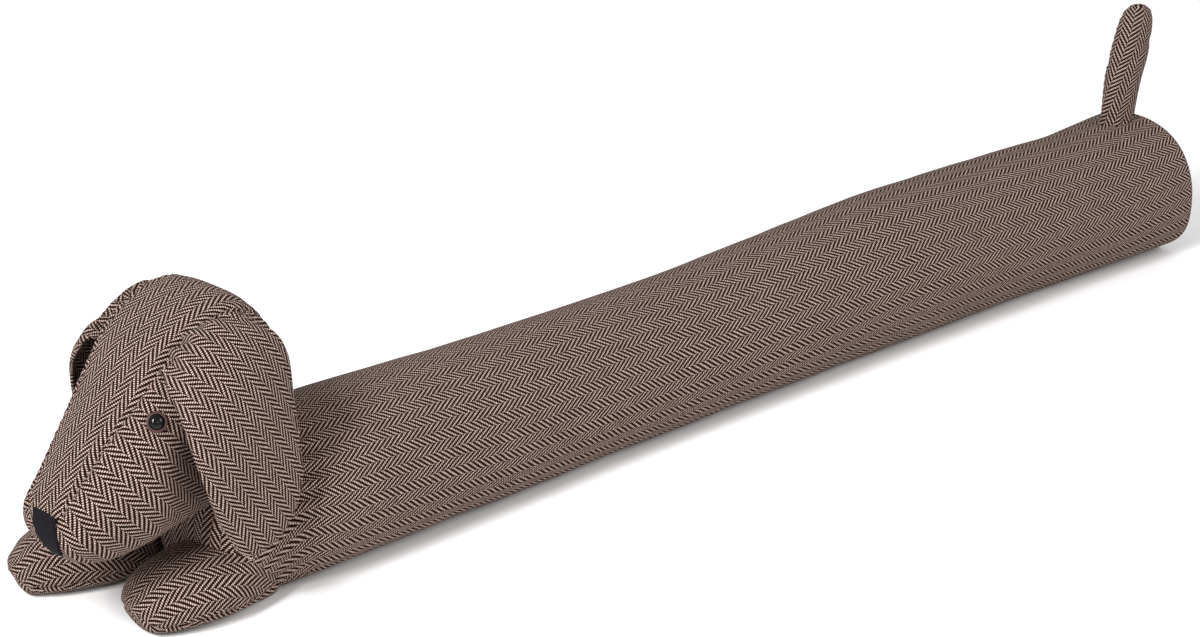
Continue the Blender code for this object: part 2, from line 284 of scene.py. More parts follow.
def flattened(points: np.ndarray, guess: np.ndarray) -> np.ndarray:
    """Lay a panel out flat, as its pattern was cut, so that lengths stay as true as they can.

    Args:
        points: the panel's grid of points.
        guess: rough flat coordinates of the points.

    Returns:
        The flat coordinates.
    """
    change = np.zeros_like(guess)
    for step, rounds in ((8, 240), (4, 120), (2, 50), (1, 20)):
        picks = [np.unique(np.append(np.arange(0, count, step), count - 1))
                 for count in points.shape[:2]]
        take = np.ix_(*picks)
        shape, flat = points[take], (guess + change)[take]
        links = []
        for down, right in ((1, 0), (0, 1), (1, 1), (1, -1)):
            left, far = (slice(0, -right or None), slice(right, None))
            if right < 0:
                left, far = slice(1, None), slice(0, -1)
            first, second = (slice(0, -down or None), left), (slice(down, None), far)
            links.append((first, second, np.linalg.norm(shape[second] - shape[first], axis=-1)))
        for _ in range(rounds):
            pull = np.zeros_like(flat)
            for first, second, length in links:
                gap = flat[second] - flat[first]
                now = np.maximum(np.linalg.norm(gap, axis=-1), 1e-9)
                part = gap * ((now - length) / now / 2)[..., None]
                pull[first] += part
                pull[second] -= part
            flat = flat + pull * 0.19
        moved = flat - guess[take]
        rows = np.interp(np.arange(points.shape[0]), picks[0], np.arange(len(picks[0])))
        columns = np.interp(np.arange(points.shape[1]), picks[1], np.arange(len(picks[1])))
        change = spline(spline(moved, rows, axis=0), columns, axis=1)
    return guess + change


class UvMap:
    """The cloth's own flat coordinates, in metres, for each corner of each face of a grid."""

    def __init__(self, rows: int, columns: int) -> None:
        """Make room for rows x columns faces."""
        self.corners = np.zeros((rows, columns, 4, 2))

    def lay(self, row: int, column: int, flat: np.ndarray) -> None:
        """Lay one panel on a block of faces.

        Args:
            row: the block's first row of faces.
            column: the block's first column of faces.
            flat: the panel's coordinates at the block's points.
        """
        rows, columns = flat.shape[0] - 1, flat.shape[1] - 1
        block = self.corners[row:row + rows, column:column + columns]
        block[:, :, 0] = flat[:-1, :-1]
        block[:, :, 1] = flat[:-1, 1:]
        block[:, :, 2] = flat[1:, 1:]
        block[:, :, 3] = flat[1:, :-1]


def turned_flat(flat: np.ndarray, angle: float, draw: tuple = (1.0, 1.0)) -> np.ndarray:
    """Turn a panel's coordinates so that the weave's columns run at an angle to its length.

    Args:
        flat: the coordinates.
        angle: the angle in degrees.
        draw: how many times closer than in slack cloth the ends and the picks lie.

    Returns:
        The turned coordinates.
    """
    turn = radians(angle)
    across, along = flat[..., 0], flat[..., 1]
    return np.stack([draw[0] * (across * cos(turn) + along * sin(turn)),
                     draw[1] * (along * cos(turn) - across * sin(turn))], axis=-1)


def grid_object(name: str, points: np.ndarray, uv: Optional[UvMap],
                poles: Sequence) -> bpy.types.Object:
    """Make a closed smooth mesh from rings of points.

    Args:
        name: the object's name.
        points: the rings, an array of rows x columns x 3.
        uv: the flat coordinates of the faces, or None.
        poles: the point that closes each end, or None where the end is one flat face.

    Returns:
        The new object, linked to the scene.
    """
    rows, columns = points.shape[:2]
    index = np.arange(rows * columns).reshape(rows, columns)
    follow = np.roll(index, -1, axis=1)
    quads = np.stack([index[:-1], follow[:-1], follow[1:], index[1:]], axis=-1).reshape(-1, 4)
    flat = points.reshape(-1, 3)
    first, second, third, fourth = (flat[quads[:, corner]] for corner in range(4))
    volume = (first * np.cross(second, third)).sum() + (first * np.cross(third, fourth)).sum()
    faces = quads.tolist()
    corners = [] if uv is None else [uv.corners.reshape(-1, 2)]
    vertices = flat.tolist()
    for ring, pole, turn in ((0, poles[0], -1), (rows - 1, poles[1], 1)):
        end_corners = [0, 1] if turn < 0 else [3, 2]
        ends = None if uv is None else uv.corners[min(ring, rows - 2), :, end_corners]
        if pole is None:
            faces.append(index[ring].tolist()[::turn])
            if uv is not None:
                corners.append(ends[0][::turn])
            continue
        vertices.append(list(pole))
        tip = len(vertices) - 1
        for column in range(columns):
            pair = (int(index[ring, column]), int(follow[ring, column]))
            faces.append((*pair[::turn], tip))
        if uv is not None:
            middle = ends.mean(axis=(0, 1))
            for column in range(columns):
                pair = ends[:, column][::turn]
                corners.append(np.vstack([pair, middle]))
    if volume < 0:
        faces = [face[::-1] for face in faces]
        if uv is not None:
            sizes = [len(face) for face in faces]
            stacked = np.concatenate(corners)
            ends_at = np.cumsum(sizes)
            order = np.concatenate([np.arange(end - 1, end - size - 1, -1)
                                    for end, size in zip(ends_at, sizes)])
            corners = [stacked[order]]
    mesh = bpy.data.meshes.new(name)
    mesh.from_pydata(vertices, [], faces)
    if uv is not None:
        layer = mesh.uv_layers.new(name=UV_NAME)
        layer.data.foreach_set("uv", np.concatenate(corners).astype(np.float32).ravel())
    mesh.shade_smooth()
    item = bpy.data.objects.new(name, mesh)
    bpy.context.scene.collection.objects.link(item)
    return item


@dataclass
class Filling:
    """How a cloth simulation fills a piece: pressure, frames and the most that a point moves."""

    pressure: float = 4.0
    frames: int = 20
    cap: float = 0.004
    stiffness: float = 12.0

    def settle(self, name: str, rings: np.ndarray, poles: Sequence, held: np.ndarray) -> np.ndarray:
        """Fill a coarse shell and say how far each of its points moves.

        Args:
            name: the piece's name.
            rings: the shell's rings of points.
            poles: the points that close its ends.
            held: True at each point that a seam or the floor holds.

        Returns:
            The moves, in the shape of rings, without the mean swelling.
        """
        item = grid_object(f"filling_{name}", rings, None, poles)
        group = item.vertex_groups.new(name="held")
        group.add([int(index) for index in np.flatnonzero(held.ravel())], 1.0, "REPLACE")
        cloth = item.modifiers.new("filling", "CLOTH")
        settings = cloth.settings
        settings.vertex_group_mass = group.name
        settings.use_pressure = True
        settings.uniform_pressure_force = self.pressure
        settings.tension_stiffness = self.stiffness
        settings.compression_stiffness = self.stiffness
        settings.effector_weights.gravity = 0.0
        cloth.collision_settings.use_collision = False
        cloth.point_cache.frame_end = self.frames
        scene = bpy.context.scene
        for step in range(1, self.frames + 1):
            scene.frame_set(step)
        bpy.ops.object.select_all(action="DESELECT")
        bpy.context.view_layer.objects.active = item
        bpy.ops.object.modifier_apply(modifier=cloth.name)
        scene.frame_set(1)
        count = rings.shape[0] * rings.shape[1]
        places = np.zeros(len(item.data.vertices) * 3)
        item.data.vertices.foreach_get("co", places)
        moves = places.reshape(-1, 3)[:count].reshape(rings.shape) - rings
        bpy.data.objects.remove(item)
        normals = outward(rings)
        swell = (moves * normals).sum(axis=-1)
        moves = moves - normals * swell[~held].mean()
        length = np.linalg.norm(moves, axis=-1, keepdims=True)
        moves *= np.minimum(1.0, self.cap / np.maximum(length, 1e-9))
        moves[held] = 0.0
        LOG.info("%s: filled, largest move %.1f mm", name, 1000 * np.abs(moves).max())
        return moves


def carried(moves: np.ndarray, coarse: Sequence, fine: Sequence, turns: float) -> np.ndarray:
    """Carry the moves of a coarse shell over to a fine one.

    Args:
        moves: the coarse shell's moves.
        coarse: its row places and column places.
        fine: the fine shell's row places and column places.
        turns: the column place at which the ring is closed.

    Returns:
        The fine shell's moves.
    """
    rows = np.interp(fine[0], coarse[0], np.arange(len(coarse[0])))
    closed = np.append(coarse[1], coarse[1][0] + turns)
    columns = np.interp(fine[1], closed, np.arange(len(closed)))
    return spline(spline(moves, rows, axis=0), columns, axis=1, closed=True)


def dress(item: bpy.types.Object, material: bpy.types.Material, slot: SlotName,
          *nodes: str) -> None:
    """Give a piece its finish and its body, and hide the CAD nodes that it stands for.

    Args:
        item: the piece.
        material: its finish.
        slot: not used.
        nodes: the CAD nodes.
    """
    item.data.materials.append(material)
    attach(item, BODY)
    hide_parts(*nodes)
    LOG.info("%s: %d faces", item.name, len(item.data.polygons))


def padded_piece(name: str, node: str, points: np.ndarray, uv: UvMap, poles: Sequence,
                 cloth: bpy.types.Material) -> bpy.types.Object:
    """Make a filled piece from its rings and dress it.

    Args:
        name: the piece's name.
        node: the CAD node that it stands for.
        points: its rings of points.
        uv: the flat coordinates of its faces.
        poles: the points that close its ends.
        cloth: the tweed.

    Returns:
        The finished piece.
    """
    item = grid_object(name, points, uv, poles)
    dress(item, cloth, SlotName.TWEED, node)
    return item


def surface_of(item: bpy.types.Object) -> BVHTree:
    """Make a search tree of a piece's surface.

    Args:
        item: the piece.

    Returns:
        The tree.
    """
    mesh = item.data
    points = [vertex.co.copy() for vertex in mesh.vertices]
    return BVHTree.FromPolygons(points, [tuple(face.vertices) for face in mesh.polygons])


class Bench:
    """A material's node tree, with short ways to add nodes and to join them."""

    def __init__(self, name: str) -> None:
        """Make the material with its Principled shader.

        Args:
            name: the material's name.
        """
        self.material = bpy.data.materials.new(name)
        self.material.use_nodes = True
        self.tree = self.material.node_tree
        self.shader = self.tree.nodes["Principled BSDF"]

    def node(self, kind: str, **settings) -> bpy.types.Node:
        """Add a node.

        Args:
            kind: its type.
            settings: its settings by name.

        Returns:
            The node.
        """
        made = self.tree.nodes.new(kind)
        for key, value in settings.items():
            setattr(made, key, value)
        return made

    def join(self, value: Value, socket: Socket) -> None:
        """Feed a socket from another one, or set its value.

        Args:
            value: the other socket, or the value.
            socket: the socket.
        """
        if isinstance(value, Socket):
            self.tree.links.new(value, socket)
        else:
            socket.default_value = value

    def math(self, operation: str, *values: Value) -> Socket:
        """Add a Math node.

        Args:
            operation: what it does.
            values: what goes into it.

        Returns:
            Its output.
        """
        made = self.node("ShaderNodeMath", operation=operation)
        for value, socket in zip(values, made.inputs):
            self.join(value, socket)
        return made.outputs[0]

    def add(self, one: Value, two: Value) -> Socket:
        """Add two values."""
        return self.math("ADD", one, two)

    def sub(self, one: Value, two: Value) -> Socket:
        """Subtract the second value from the first."""
        return self.math("SUBTRACT", one, two)

    def mul(self, one: Value, two: Value) -> Socket:
        """Multiply two values."""
        return self.math("MULTIPLY", one, two)

    def pick(self, part: Value, zero: Value, one: Value) -> Socket:
        """Blend two numbers: the first where part is 0, the second where it is 1."""
        return self.add(zero, self.mul(part, self.sub(one, zero)))

    def hump(self, place: Value, power: float) -> Socket:
        """Rise from 0 to 1 and fall back to 0 as place goes from 0 to 1."""
        arch = self.mul(self.mul(place, 4.0), self.sub(1.0, place))
        return self.math("POWER", self.math("MAXIMUM", arch, 0.0), power)

    def blend(self, part: Value, one: Value, two: Value, way: str = "MIX") -> Socket:
        """Blend two colours.

        Args:
            part: the share of the second.
            one: the first.
            two: the second.
            way: how they are blended.

        Returns:
            The blend.
        """
        made = self.node("ShaderNodeMix", data_type="RGBA", blend_type=way)
        self.join(part, made.inputs[0])
        self.join(one, made.inputs[6])
        self.join(two, made.inputs[7])
        return made.outputs[2]

    def noise(self, place: Socket, scale: float, detail: float = 2.0) -> Socket:
        """Add a noise texture.

        Args:
            place: its coordinates.
            scale: how fine it is.
            detail: how many finer layers it has.

        Returns:
            Its value.
        """
        made = self.node("ShaderNodeTexNoise")
        self.join(place, made.inputs["Vector"])
        self.join(scale, made.inputs["Scale"])
        self.join(detail, made.inputs["Detail"])
        return made.outputs[0]

    def random(self, one: Value, two: Value) -> Socket:
        """Give a value from 0 to 1 that is the same all over one cell.

        Args:
            one: the cell's first number.
            two: its second number.

        Returns:
            The value.
        """
        pair = self.node("ShaderNodeCombineXYZ")
        self.join(one, pair.inputs[0])
        self.join(two, pair.inputs[1])
        made = self.node("ShaderNodeTexWhiteNoise", noise_dimensions="2D")
        self.join(pair.outputs[0], made.inputs["Vector"])
        return made.outputs["Value"]

    def bump(self, height: Socket, strength: float, distance: float) -> None:
        """Turn a height into the shader's relief.

        Args:
            height: the height.
            strength: how strongly it shows.
            distance: the height that 1 stands for, in metres.
        """
        made = self.node("ShaderNodeBump")
        self.join(strength, made.inputs["Strength"])
        self.join(distance, made.inputs["Distance"])
        self.join(height, made.inputs["Height"])
        self.join(made.outputs[0], self.shader.inputs["Normal"])

    def set(self, **values: Value) -> None:
        """Set the shader's own sockets by name, with _ for a space."""
        for key, value in values.items():
            self.join(value, self.shader.inputs[key.replace("_", " ")])


@dataclass(frozen=True)
class Tweed:
    """Herringbone wool cloth: cream weft over brown warp, two up and two down."""

    end: float = 0.00079
    pick: float = 0.00110
    ends_per_column: float = 8.0
    point_shift: float = 1.0
    cream: tuple = (0.625, 0.459, 0.395, 1.0)
    brown: tuple = (0.020, 0.0066, 0.0042, 1.0)
    # gap: painted shade, the colour that the yarns darken to where they dip between one another
    gap: tuple = (0.004, 0.002, 0.0014, 1.0)
    wobble: float = 0.55
    wobble_size: float = 260.0
    tone_low: float = 0.79
    tone_span: float = 0.38
    ply_tone: float = 0.05
    fibre_tone: float = 0.65
    fibre_size: float = 5200.0
    fibre_relief: float = 0.35
    relief: float = 0.00035

    def material(self) -> bpy.types.Material:
        """Weave the cloth on the piece's own flat coordinates.

        Returns:
            The material.
        """
        bench = Bench("herringbone_tweed")
        place = bench.node("ShaderNodeUVMap", uv_map=UV_NAME).outputs[0]
        parts = bench.node("ShaderNodeSeparateXYZ")
        bench.join(place, parts.inputs[0])
        drift = [bench.mul(bench.sub(bench.noise(moved, self.wobble_size), 0.5), self.wobble)
                 for moved in (place, self.shifted(bench, place))]
        across = bench.add(bench.mul(parts.outputs[0], 1 / self.end), drift[0])
        along = bench.add(bench.mul(parts.outputs[1], 1 / self.pick), drift[1])
        end, row = bench.math("FLOOR", across), bench.math("FLOOR", along)
        end_part, row_part = bench.math("FRACT", across), bench.math("FRACT", along)
        column = bench.math("FLOOR", bench.mul(end, 1 / self.ends_per_column))
        odd = bench.math("FLOORED_MODULO", column, 2.0)
        slant = bench.sub(1.0, bench.mul(odd, 2.0))
        within = bench.sub(end, bench.mul(column, self.ends_per_column))
        shift = bench.add(bench.mul(slant, within), bench.mul(odd, self.point_shift))
        turn = bench.math("FLOORED_MODULO", bench.add(shift, row), 4.0)
        brown_up = bench.math("GREATER_THAN", turn, 1.5)
        weft_place = bench.mul(bench.add(bench.add(bench.mul(slant, bench.sub(turn, 0.5)), 0.5),
                                         end_part), 0.5)
        warp_place = bench.mul(bench.add(bench.sub(turn, 2.0), row_part), 0.5)
        weft = bench.mul(bench.hump(weft_place, 0.55), bench.hump(row_part, 1.5))
        warp = bench.mul(bench.hump(warp_place, 0.45), bench.hump(end_part, 0.8))
        height = bench.pick(brown_up, weft, warp)
        weft_tone = bench.random(row, bench.math("FLOOR", bench.mul(end, 0.5)))
        warp_tone = bench.random(end, bench.math("FLOOR", bench.mul(row, 0.5)))
        tone = bench.mul(bench.pick(brown_up, weft_tone, warp_tone), self.tone_span)
        tone = bench.add(tone, self.tone_low)
        ply = bench.math("SINE", bench.add(bench.mul(weft_place, 18.0), bench.mul(row_part, 7.0)))
        fibre = bench.noise(place, self.fibre_size, 3.0)
        tone = bench.add(tone, bench.mul(bench.sub(fibre, 0.5), self.fibre_tone))
        tone = bench.add(tone, bench.mul(ply, self.ply_tone))
        yarn = bench.blend(brown_up, self.cream, self.brown)
        # Painted shade: the yarn colour darkens towards the gap colour as the yarn's height falls,
        # in the hollows between yarns and along their edges
        yarn_with_painted_shade = bench.blend(bench.math("POWER", height, 1.15), self.gap, yarn)
        tint = bench.node("ShaderNodeCombineColor")
        for socket in tint.inputs:
            bench.join(tone, socket)
        colour = bench.blend(1.0, yarn_with_painted_shade, tint.outputs[0], "MULTIPLY")
        relief = bench.add(height, bench.mul(fibre, self.fibre_relief))
        bench.bump(relief, 0.75, self.relief)
        bench.set(Base_Color=colour, Roughness=0.95, Sheen_Weight=0.015, Sheen_Roughness=0.4,
                  Sheen_Tint=(0.85, 0.72, 0.68, 1.0), Specular_IOR_Level=0.03)
        return bench.material

    def shifted(self, bench: Bench, place: Socket) -> Socket:
        """Give coordinates far off the first ones, for a second noise.

        Args:
            bench: the material's node tree.
            place: the first coordinates.

        Returns:
            The coordinates.
        """
        made = bench.node("ShaderNodeVectorMath", operation="ADD")
        bench.join(place, made.inputs[0])
        bench.join((3.7, 1.9, 0.0), made.inputs[1])
        return made.outputs[0]


@dataclass(frozen=True)
class Felt:
    """Black pressed wool felt."""

    colour: tuple = (0.006, 0.0055, 0.007, 1.0)
    fleck: tuple = (0.018, 0.016, 0.019, 1.0)

    def material(self) -> bpy.types.Material:
        """Make the felt with matted fibres.

        Returns:
            The material.
        """
        bench = Bench("black_felt")
        place = bench.node("ShaderNodeUVMap", uv_map=UV_NAME).outputs[0]
        fibre = bench.noise(place, 2600.0, 5.0)
        mat = bench.noise(place, 700.0, 3.0)
        part = bench.math("POWER", bench.mul(fibre, bench.add(mat, 0.35)), 2.0)
        bench.set(Base_Color=bench.blend(part, self.colour, self.fleck), Roughness=0.95,
                  Sheen_Weight=0.02, Sheen_Roughness=0.5, Specular_IOR_Level=0.05)
        bench.bump(bench.add(fibre, mat), 0.5, 0.0002)
        return bench.material


@dataclass(frozen=True)
class EyePlastic:
    """Moulded plastic with a faint unevenness."""

    name: str
    colour: tuple
    edge: tuple
    roughness: float
    shine: float

    def material(self) -> bpy.types.Material:
        """Make the plastic.

        Returns:
            The material.
        """
        bench = Bench(self.name)
        place = bench.node("ShaderNodeTexCoord").outputs["Object"]
        cloud = bench.noise(place, 420.0, 3.0)
        bench.set(Base_Color=bench.blend(cloud, self.colour, self.edge), Roughness=self.roughness,
                  Specular_IOR_Level=self.shine)
        bench.bump(bench.noise(place, 1500.0, 2.0), 0.15 * self.roughness, 0.0002)
        return bench.material


@dataclass(frozen=True)
class FloorPaint:
    """A plain white studio floor."""

    colour: tuple = (0.93, 0.93, 0.93, 1.0)
    shade: tuple = (0.90, 0.90, 0.90, 1.0)

    def material(self) -> bpy.types.Material:
        """Make the floor's paint.

        Returns:
            The material.
        """
        bench = Bench("studio_floor")
        place = bench.node("ShaderNodeTexCoord").outputs["Object"]
        bench.set(Base_Color=bench.blend(bench.noise(place, 0.8), self.colour, self.shade),
                  Roughness=0.85, Specular_IOR_Level=0.1)
        return bench.material


def oval_ring(half_width: np.ndarray, height: np.ndarray, inset: np.ndarray, sink: float,
              squareness: Union[float, np.ndarray], turns: np.ndarray,
              floor: np.ndarray) -> tuple:
    """Give the sideways and upright places of ovals whose foot is pressed flat on the floor.

    Args:
        half_width: half the width of each ring.
        height: the height of each ring.
        inset: how far each ring is drawn in.
        sink: the share of the height by which the oval would reach below the floor.
        squareness: the oval's exponent.
        turns: the angles round the ring, from the foot.
        floor: the lowest place of each ring.

    Returns:
        The sideways and the upright places, each of rings x angles.
    """
    half_height = height * (1 + sink) / 2
    side = (half_width - inset)[:, None] * rounded(np.sin(turns)[None], squareness)
    rise = (height - half_height)[:, None] - (half_height - inset)[:, None] * rounded(
        np.cos(turns)[None], squareness)
    return side, np.maximum(rise, floor[:, None])


@dataclass
class BodyTube:
    """The long filled tube, gathered at the neck and closed by a round end."""

    front_x: float = -0.385
    rear_x: float = 0.4865
    front_round: float = 0.026
    rear_round: float = 0.006
    rear_dome: float = 0.004
    squareness: float = 2.15
    sink: float = 0.035
    rear_squareness: float = 2.35
    rear_sag: float = 0.065
    gather_x: float = -0.338
    gather_length: float = 0.026
    gather_depth: float = 0.0024
    gathers: int = 27
    twist: float = 0.21
    twist_end_x: float = 0.22
    twist_fade: float = 0.25
    draw: tuple = (1.05, 1.03)
    fill: float = 0.85
    coarse_rows: tuple = (120, 5)
    coarse_turns: int = 48
    fine_rows: tuple = (460, 12)
    fine_turns: int = 168
    lumps: tuple = (Lump(0.0011, 0.085, 3.1), Lump(0.00045, 0.03, 7.7))
    seam_ridge: float = 0.0007
    seam_groove: float = 0.0009
    seam_stitches: int = 52
    sections: tuple = (
        TubeSection(-0.385, 0.042, 0.078),
        TubeSection(-0.350, 0.050, 0.091),
        TubeSection(-0.310, 0.057, 0.0975),
        TubeSection(-0.200, 0.054, 0.095),
        TubeSection(-0.100, 0.051, 0.0937),
        TubeSection(0.000, 0.050, 0.0937),
        TubeSection(0.100, 0.051, 0.0972),
        TubeSection(0.200, 0.052, 0.1007),
        TubeSection(0.300, 0.0535, 0.0995),
        TubeSection(0.400, 0.0553, 0.0965),
        TubeSection(0.4865, 0.0575, 0.0985),
    )

    def stations(self, straight: int, ends: int) -> np.ndarray:
        """List the row places: 0 to 1 the chest, 1 to 2 the tube, 2 to 3 the rim, 3 to 4 the end.

        Args:
            straight: the rows of the tube.
            ends: the rows of each of the other parts.

        Returns:
            The places, in order.
        """
        return np.concatenate([np.linspace(0, 1, ends, endpoint=False) + 0.5 / ends,
                               np.linspace(1, 2, straight, endpoint=False),
                               np.linspace(2, 3, ends, endpoint=False),
                               np.linspace(3, 3.95, ends)])

    def rings(self, rows: np.ndarray, turns: np.ndarray) -> np.ndarray:
        """Give the tube's points.

        Args:
            rows: the row places.
            turns: the angles round the tube, from the foot.

        Returns:
            The points, rows x angles x 3.
        """
        front, rear = self.front_x + self.front_round, self.rear_x - self.rear_round
        chest, rim = pi / 2 * np.clip(1 - rows, 0, 1), pi / 2 * np.clip(rows - 2, 0, 1)
        x = front + (rear - front) * np.clip(rows - 1, 0, 1)
        x = x - self.front_round * np.sin(chest) + self.rear_round * np.sin(rim)
        inset = self.front_round * (1 - np.cos(chest)) + self.rear_round * (1 - np.cos(rim))
        table = np.array(self.sections)
        index = np.interp(x, table[:, 0], np.arange(len(table)))
        read = spline(table, index)
        squarer = np.clip((x - rear + 0.12) / 0.12, 0, 1)[:, None]
        square = self.squareness + (self.rear_squareness - self.squareness) * squarer
        side, rise = oval_ring(read[:, 1], read[:, 2], inset, self.sink, square, turns,
                               np.zeros(len(rows)))
        level = np.clip(rise / read[:, 2:3], 0, 1)
        rise = rise - self.rear_sag * read[:, 2:3] * squarer * np.sin(pi * level)
        shrink = np.cos(pi / 2 * np.clip(rows - 3, 0, 1))[:, None]
        bulge = self.rear_dome * np.sin(pi / 2 * np.clip(rows - 3, 0, 1))[:, None]
        middle = table[-1, 2] / 2
        return np.stack([(x[:, None] + bulge) * np.ones_like(side), side * shrink,
                         middle + (rise - middle) * shrink], axis=-1)

    def details(self, points: np.ndarray, rows: np.ndarray, turns: np.ndarray) -> np.ndarray:
        """Say how far each point stands out for lumps, neck gathers and the rim's seam.

        Args:
            points: the tube's points.
            rows: the row places.
            turns: the angles.

        Returns:
            How far each point stands out.
        """
        x = points[..., 0]
        out = lumpy(points, self.lumps)
        sway = 1.6 * lumps(points * np.array([0.3, 1, 1]), 0.03, 1.3)
        fold = np.cos(self.gathers * turns[None] + sway)
        strength = self.gather_depth * bell(x - self.gather_x, self.gather_length)
        out = out + strength * (fold - 0.4) * (0.55 + 0.45 * np.cos(3 * turns[None] + 1.0))
        rim = bell(rows[:, None] - 3.0, 0.35)
        pucker = 1 + 0.35 * np.cos(self.seam_stitches * turns[None] + sway)
        out = out + rim * self.seam_ridge * pucker
        return out - self.seam_groove * bell(rows[:, None] - 3.35, 0.16)

    def cut(self, points: np.ndarray, rows: np.ndarray) -> UvMap:
        """Lay the tube's panel and its two ends out flat.

        Args:
            points: the tube's points.
            rows: the row places.

        Returns:
            The flat coordinates.
        """
        closed = ring_closed(points)
        rounds = run_length(closed, 1)
        across = rounds - rounds[:, -1:] / 2
        across = across + 0.0012 * lumps(closed * np.array([0.5, 1, 1]), 0.04, 51.0)
        twist = self.twist * np.clip((self.twist_end_x - closed[..., 0]) / self.twist_fade, 0, 1)
        along = closed[..., 0] + twist * across + 0.0015 * lumps(closed, 0.07, 57.0)
        uv = UvMap(len(rows) - 1, points.shape[1])
        uv.lay(0, 0, turned_flat(paired(across, along), 0.0, self.draw))
        chest, end = (int(np.searchsorted(rows, place)) for place in (0.8, 3.0))
        uv.lay(0, 0, closed[:chest, :, 1:])
        uv.lay(end, 0, closed[end:, :, 1:])
        return uv

    def build(self, cloth: bpy.types.Material) -> bpy.types.Object:
        """Build, fill and dress the tube.

        Args:
            cloth: the tweed.

        Returns:
            The finished piece.
        """
        poles = ((self.front_x, 0, self.sections[0].height / 2),
                 (self.rear_x + self.rear_dome, 0, self.sections[-1].height / 2))
        coarse = (self.stations(*self.coarse_rows), even_turns(self.coarse_turns))
        shell = self.rings(*coarse)
        moves = Filling().settle("body", shell, poles, shell[..., 2] < 0.003)
        fine = (self.stations(*self.fine_rows), even_turns(self.fine_turns))
        points = self.rings(*fine) + carried(moves, coarse, fine, 2 * pi)
        points = points + outward(points) * self.details(points, *fine)[..., None]
        points[..., 2] = np.maximum(points[..., 2], 0.0)
        return padded_piece("body_tube", "body", points, self.cut(points, fine[0]), poles, cloth)


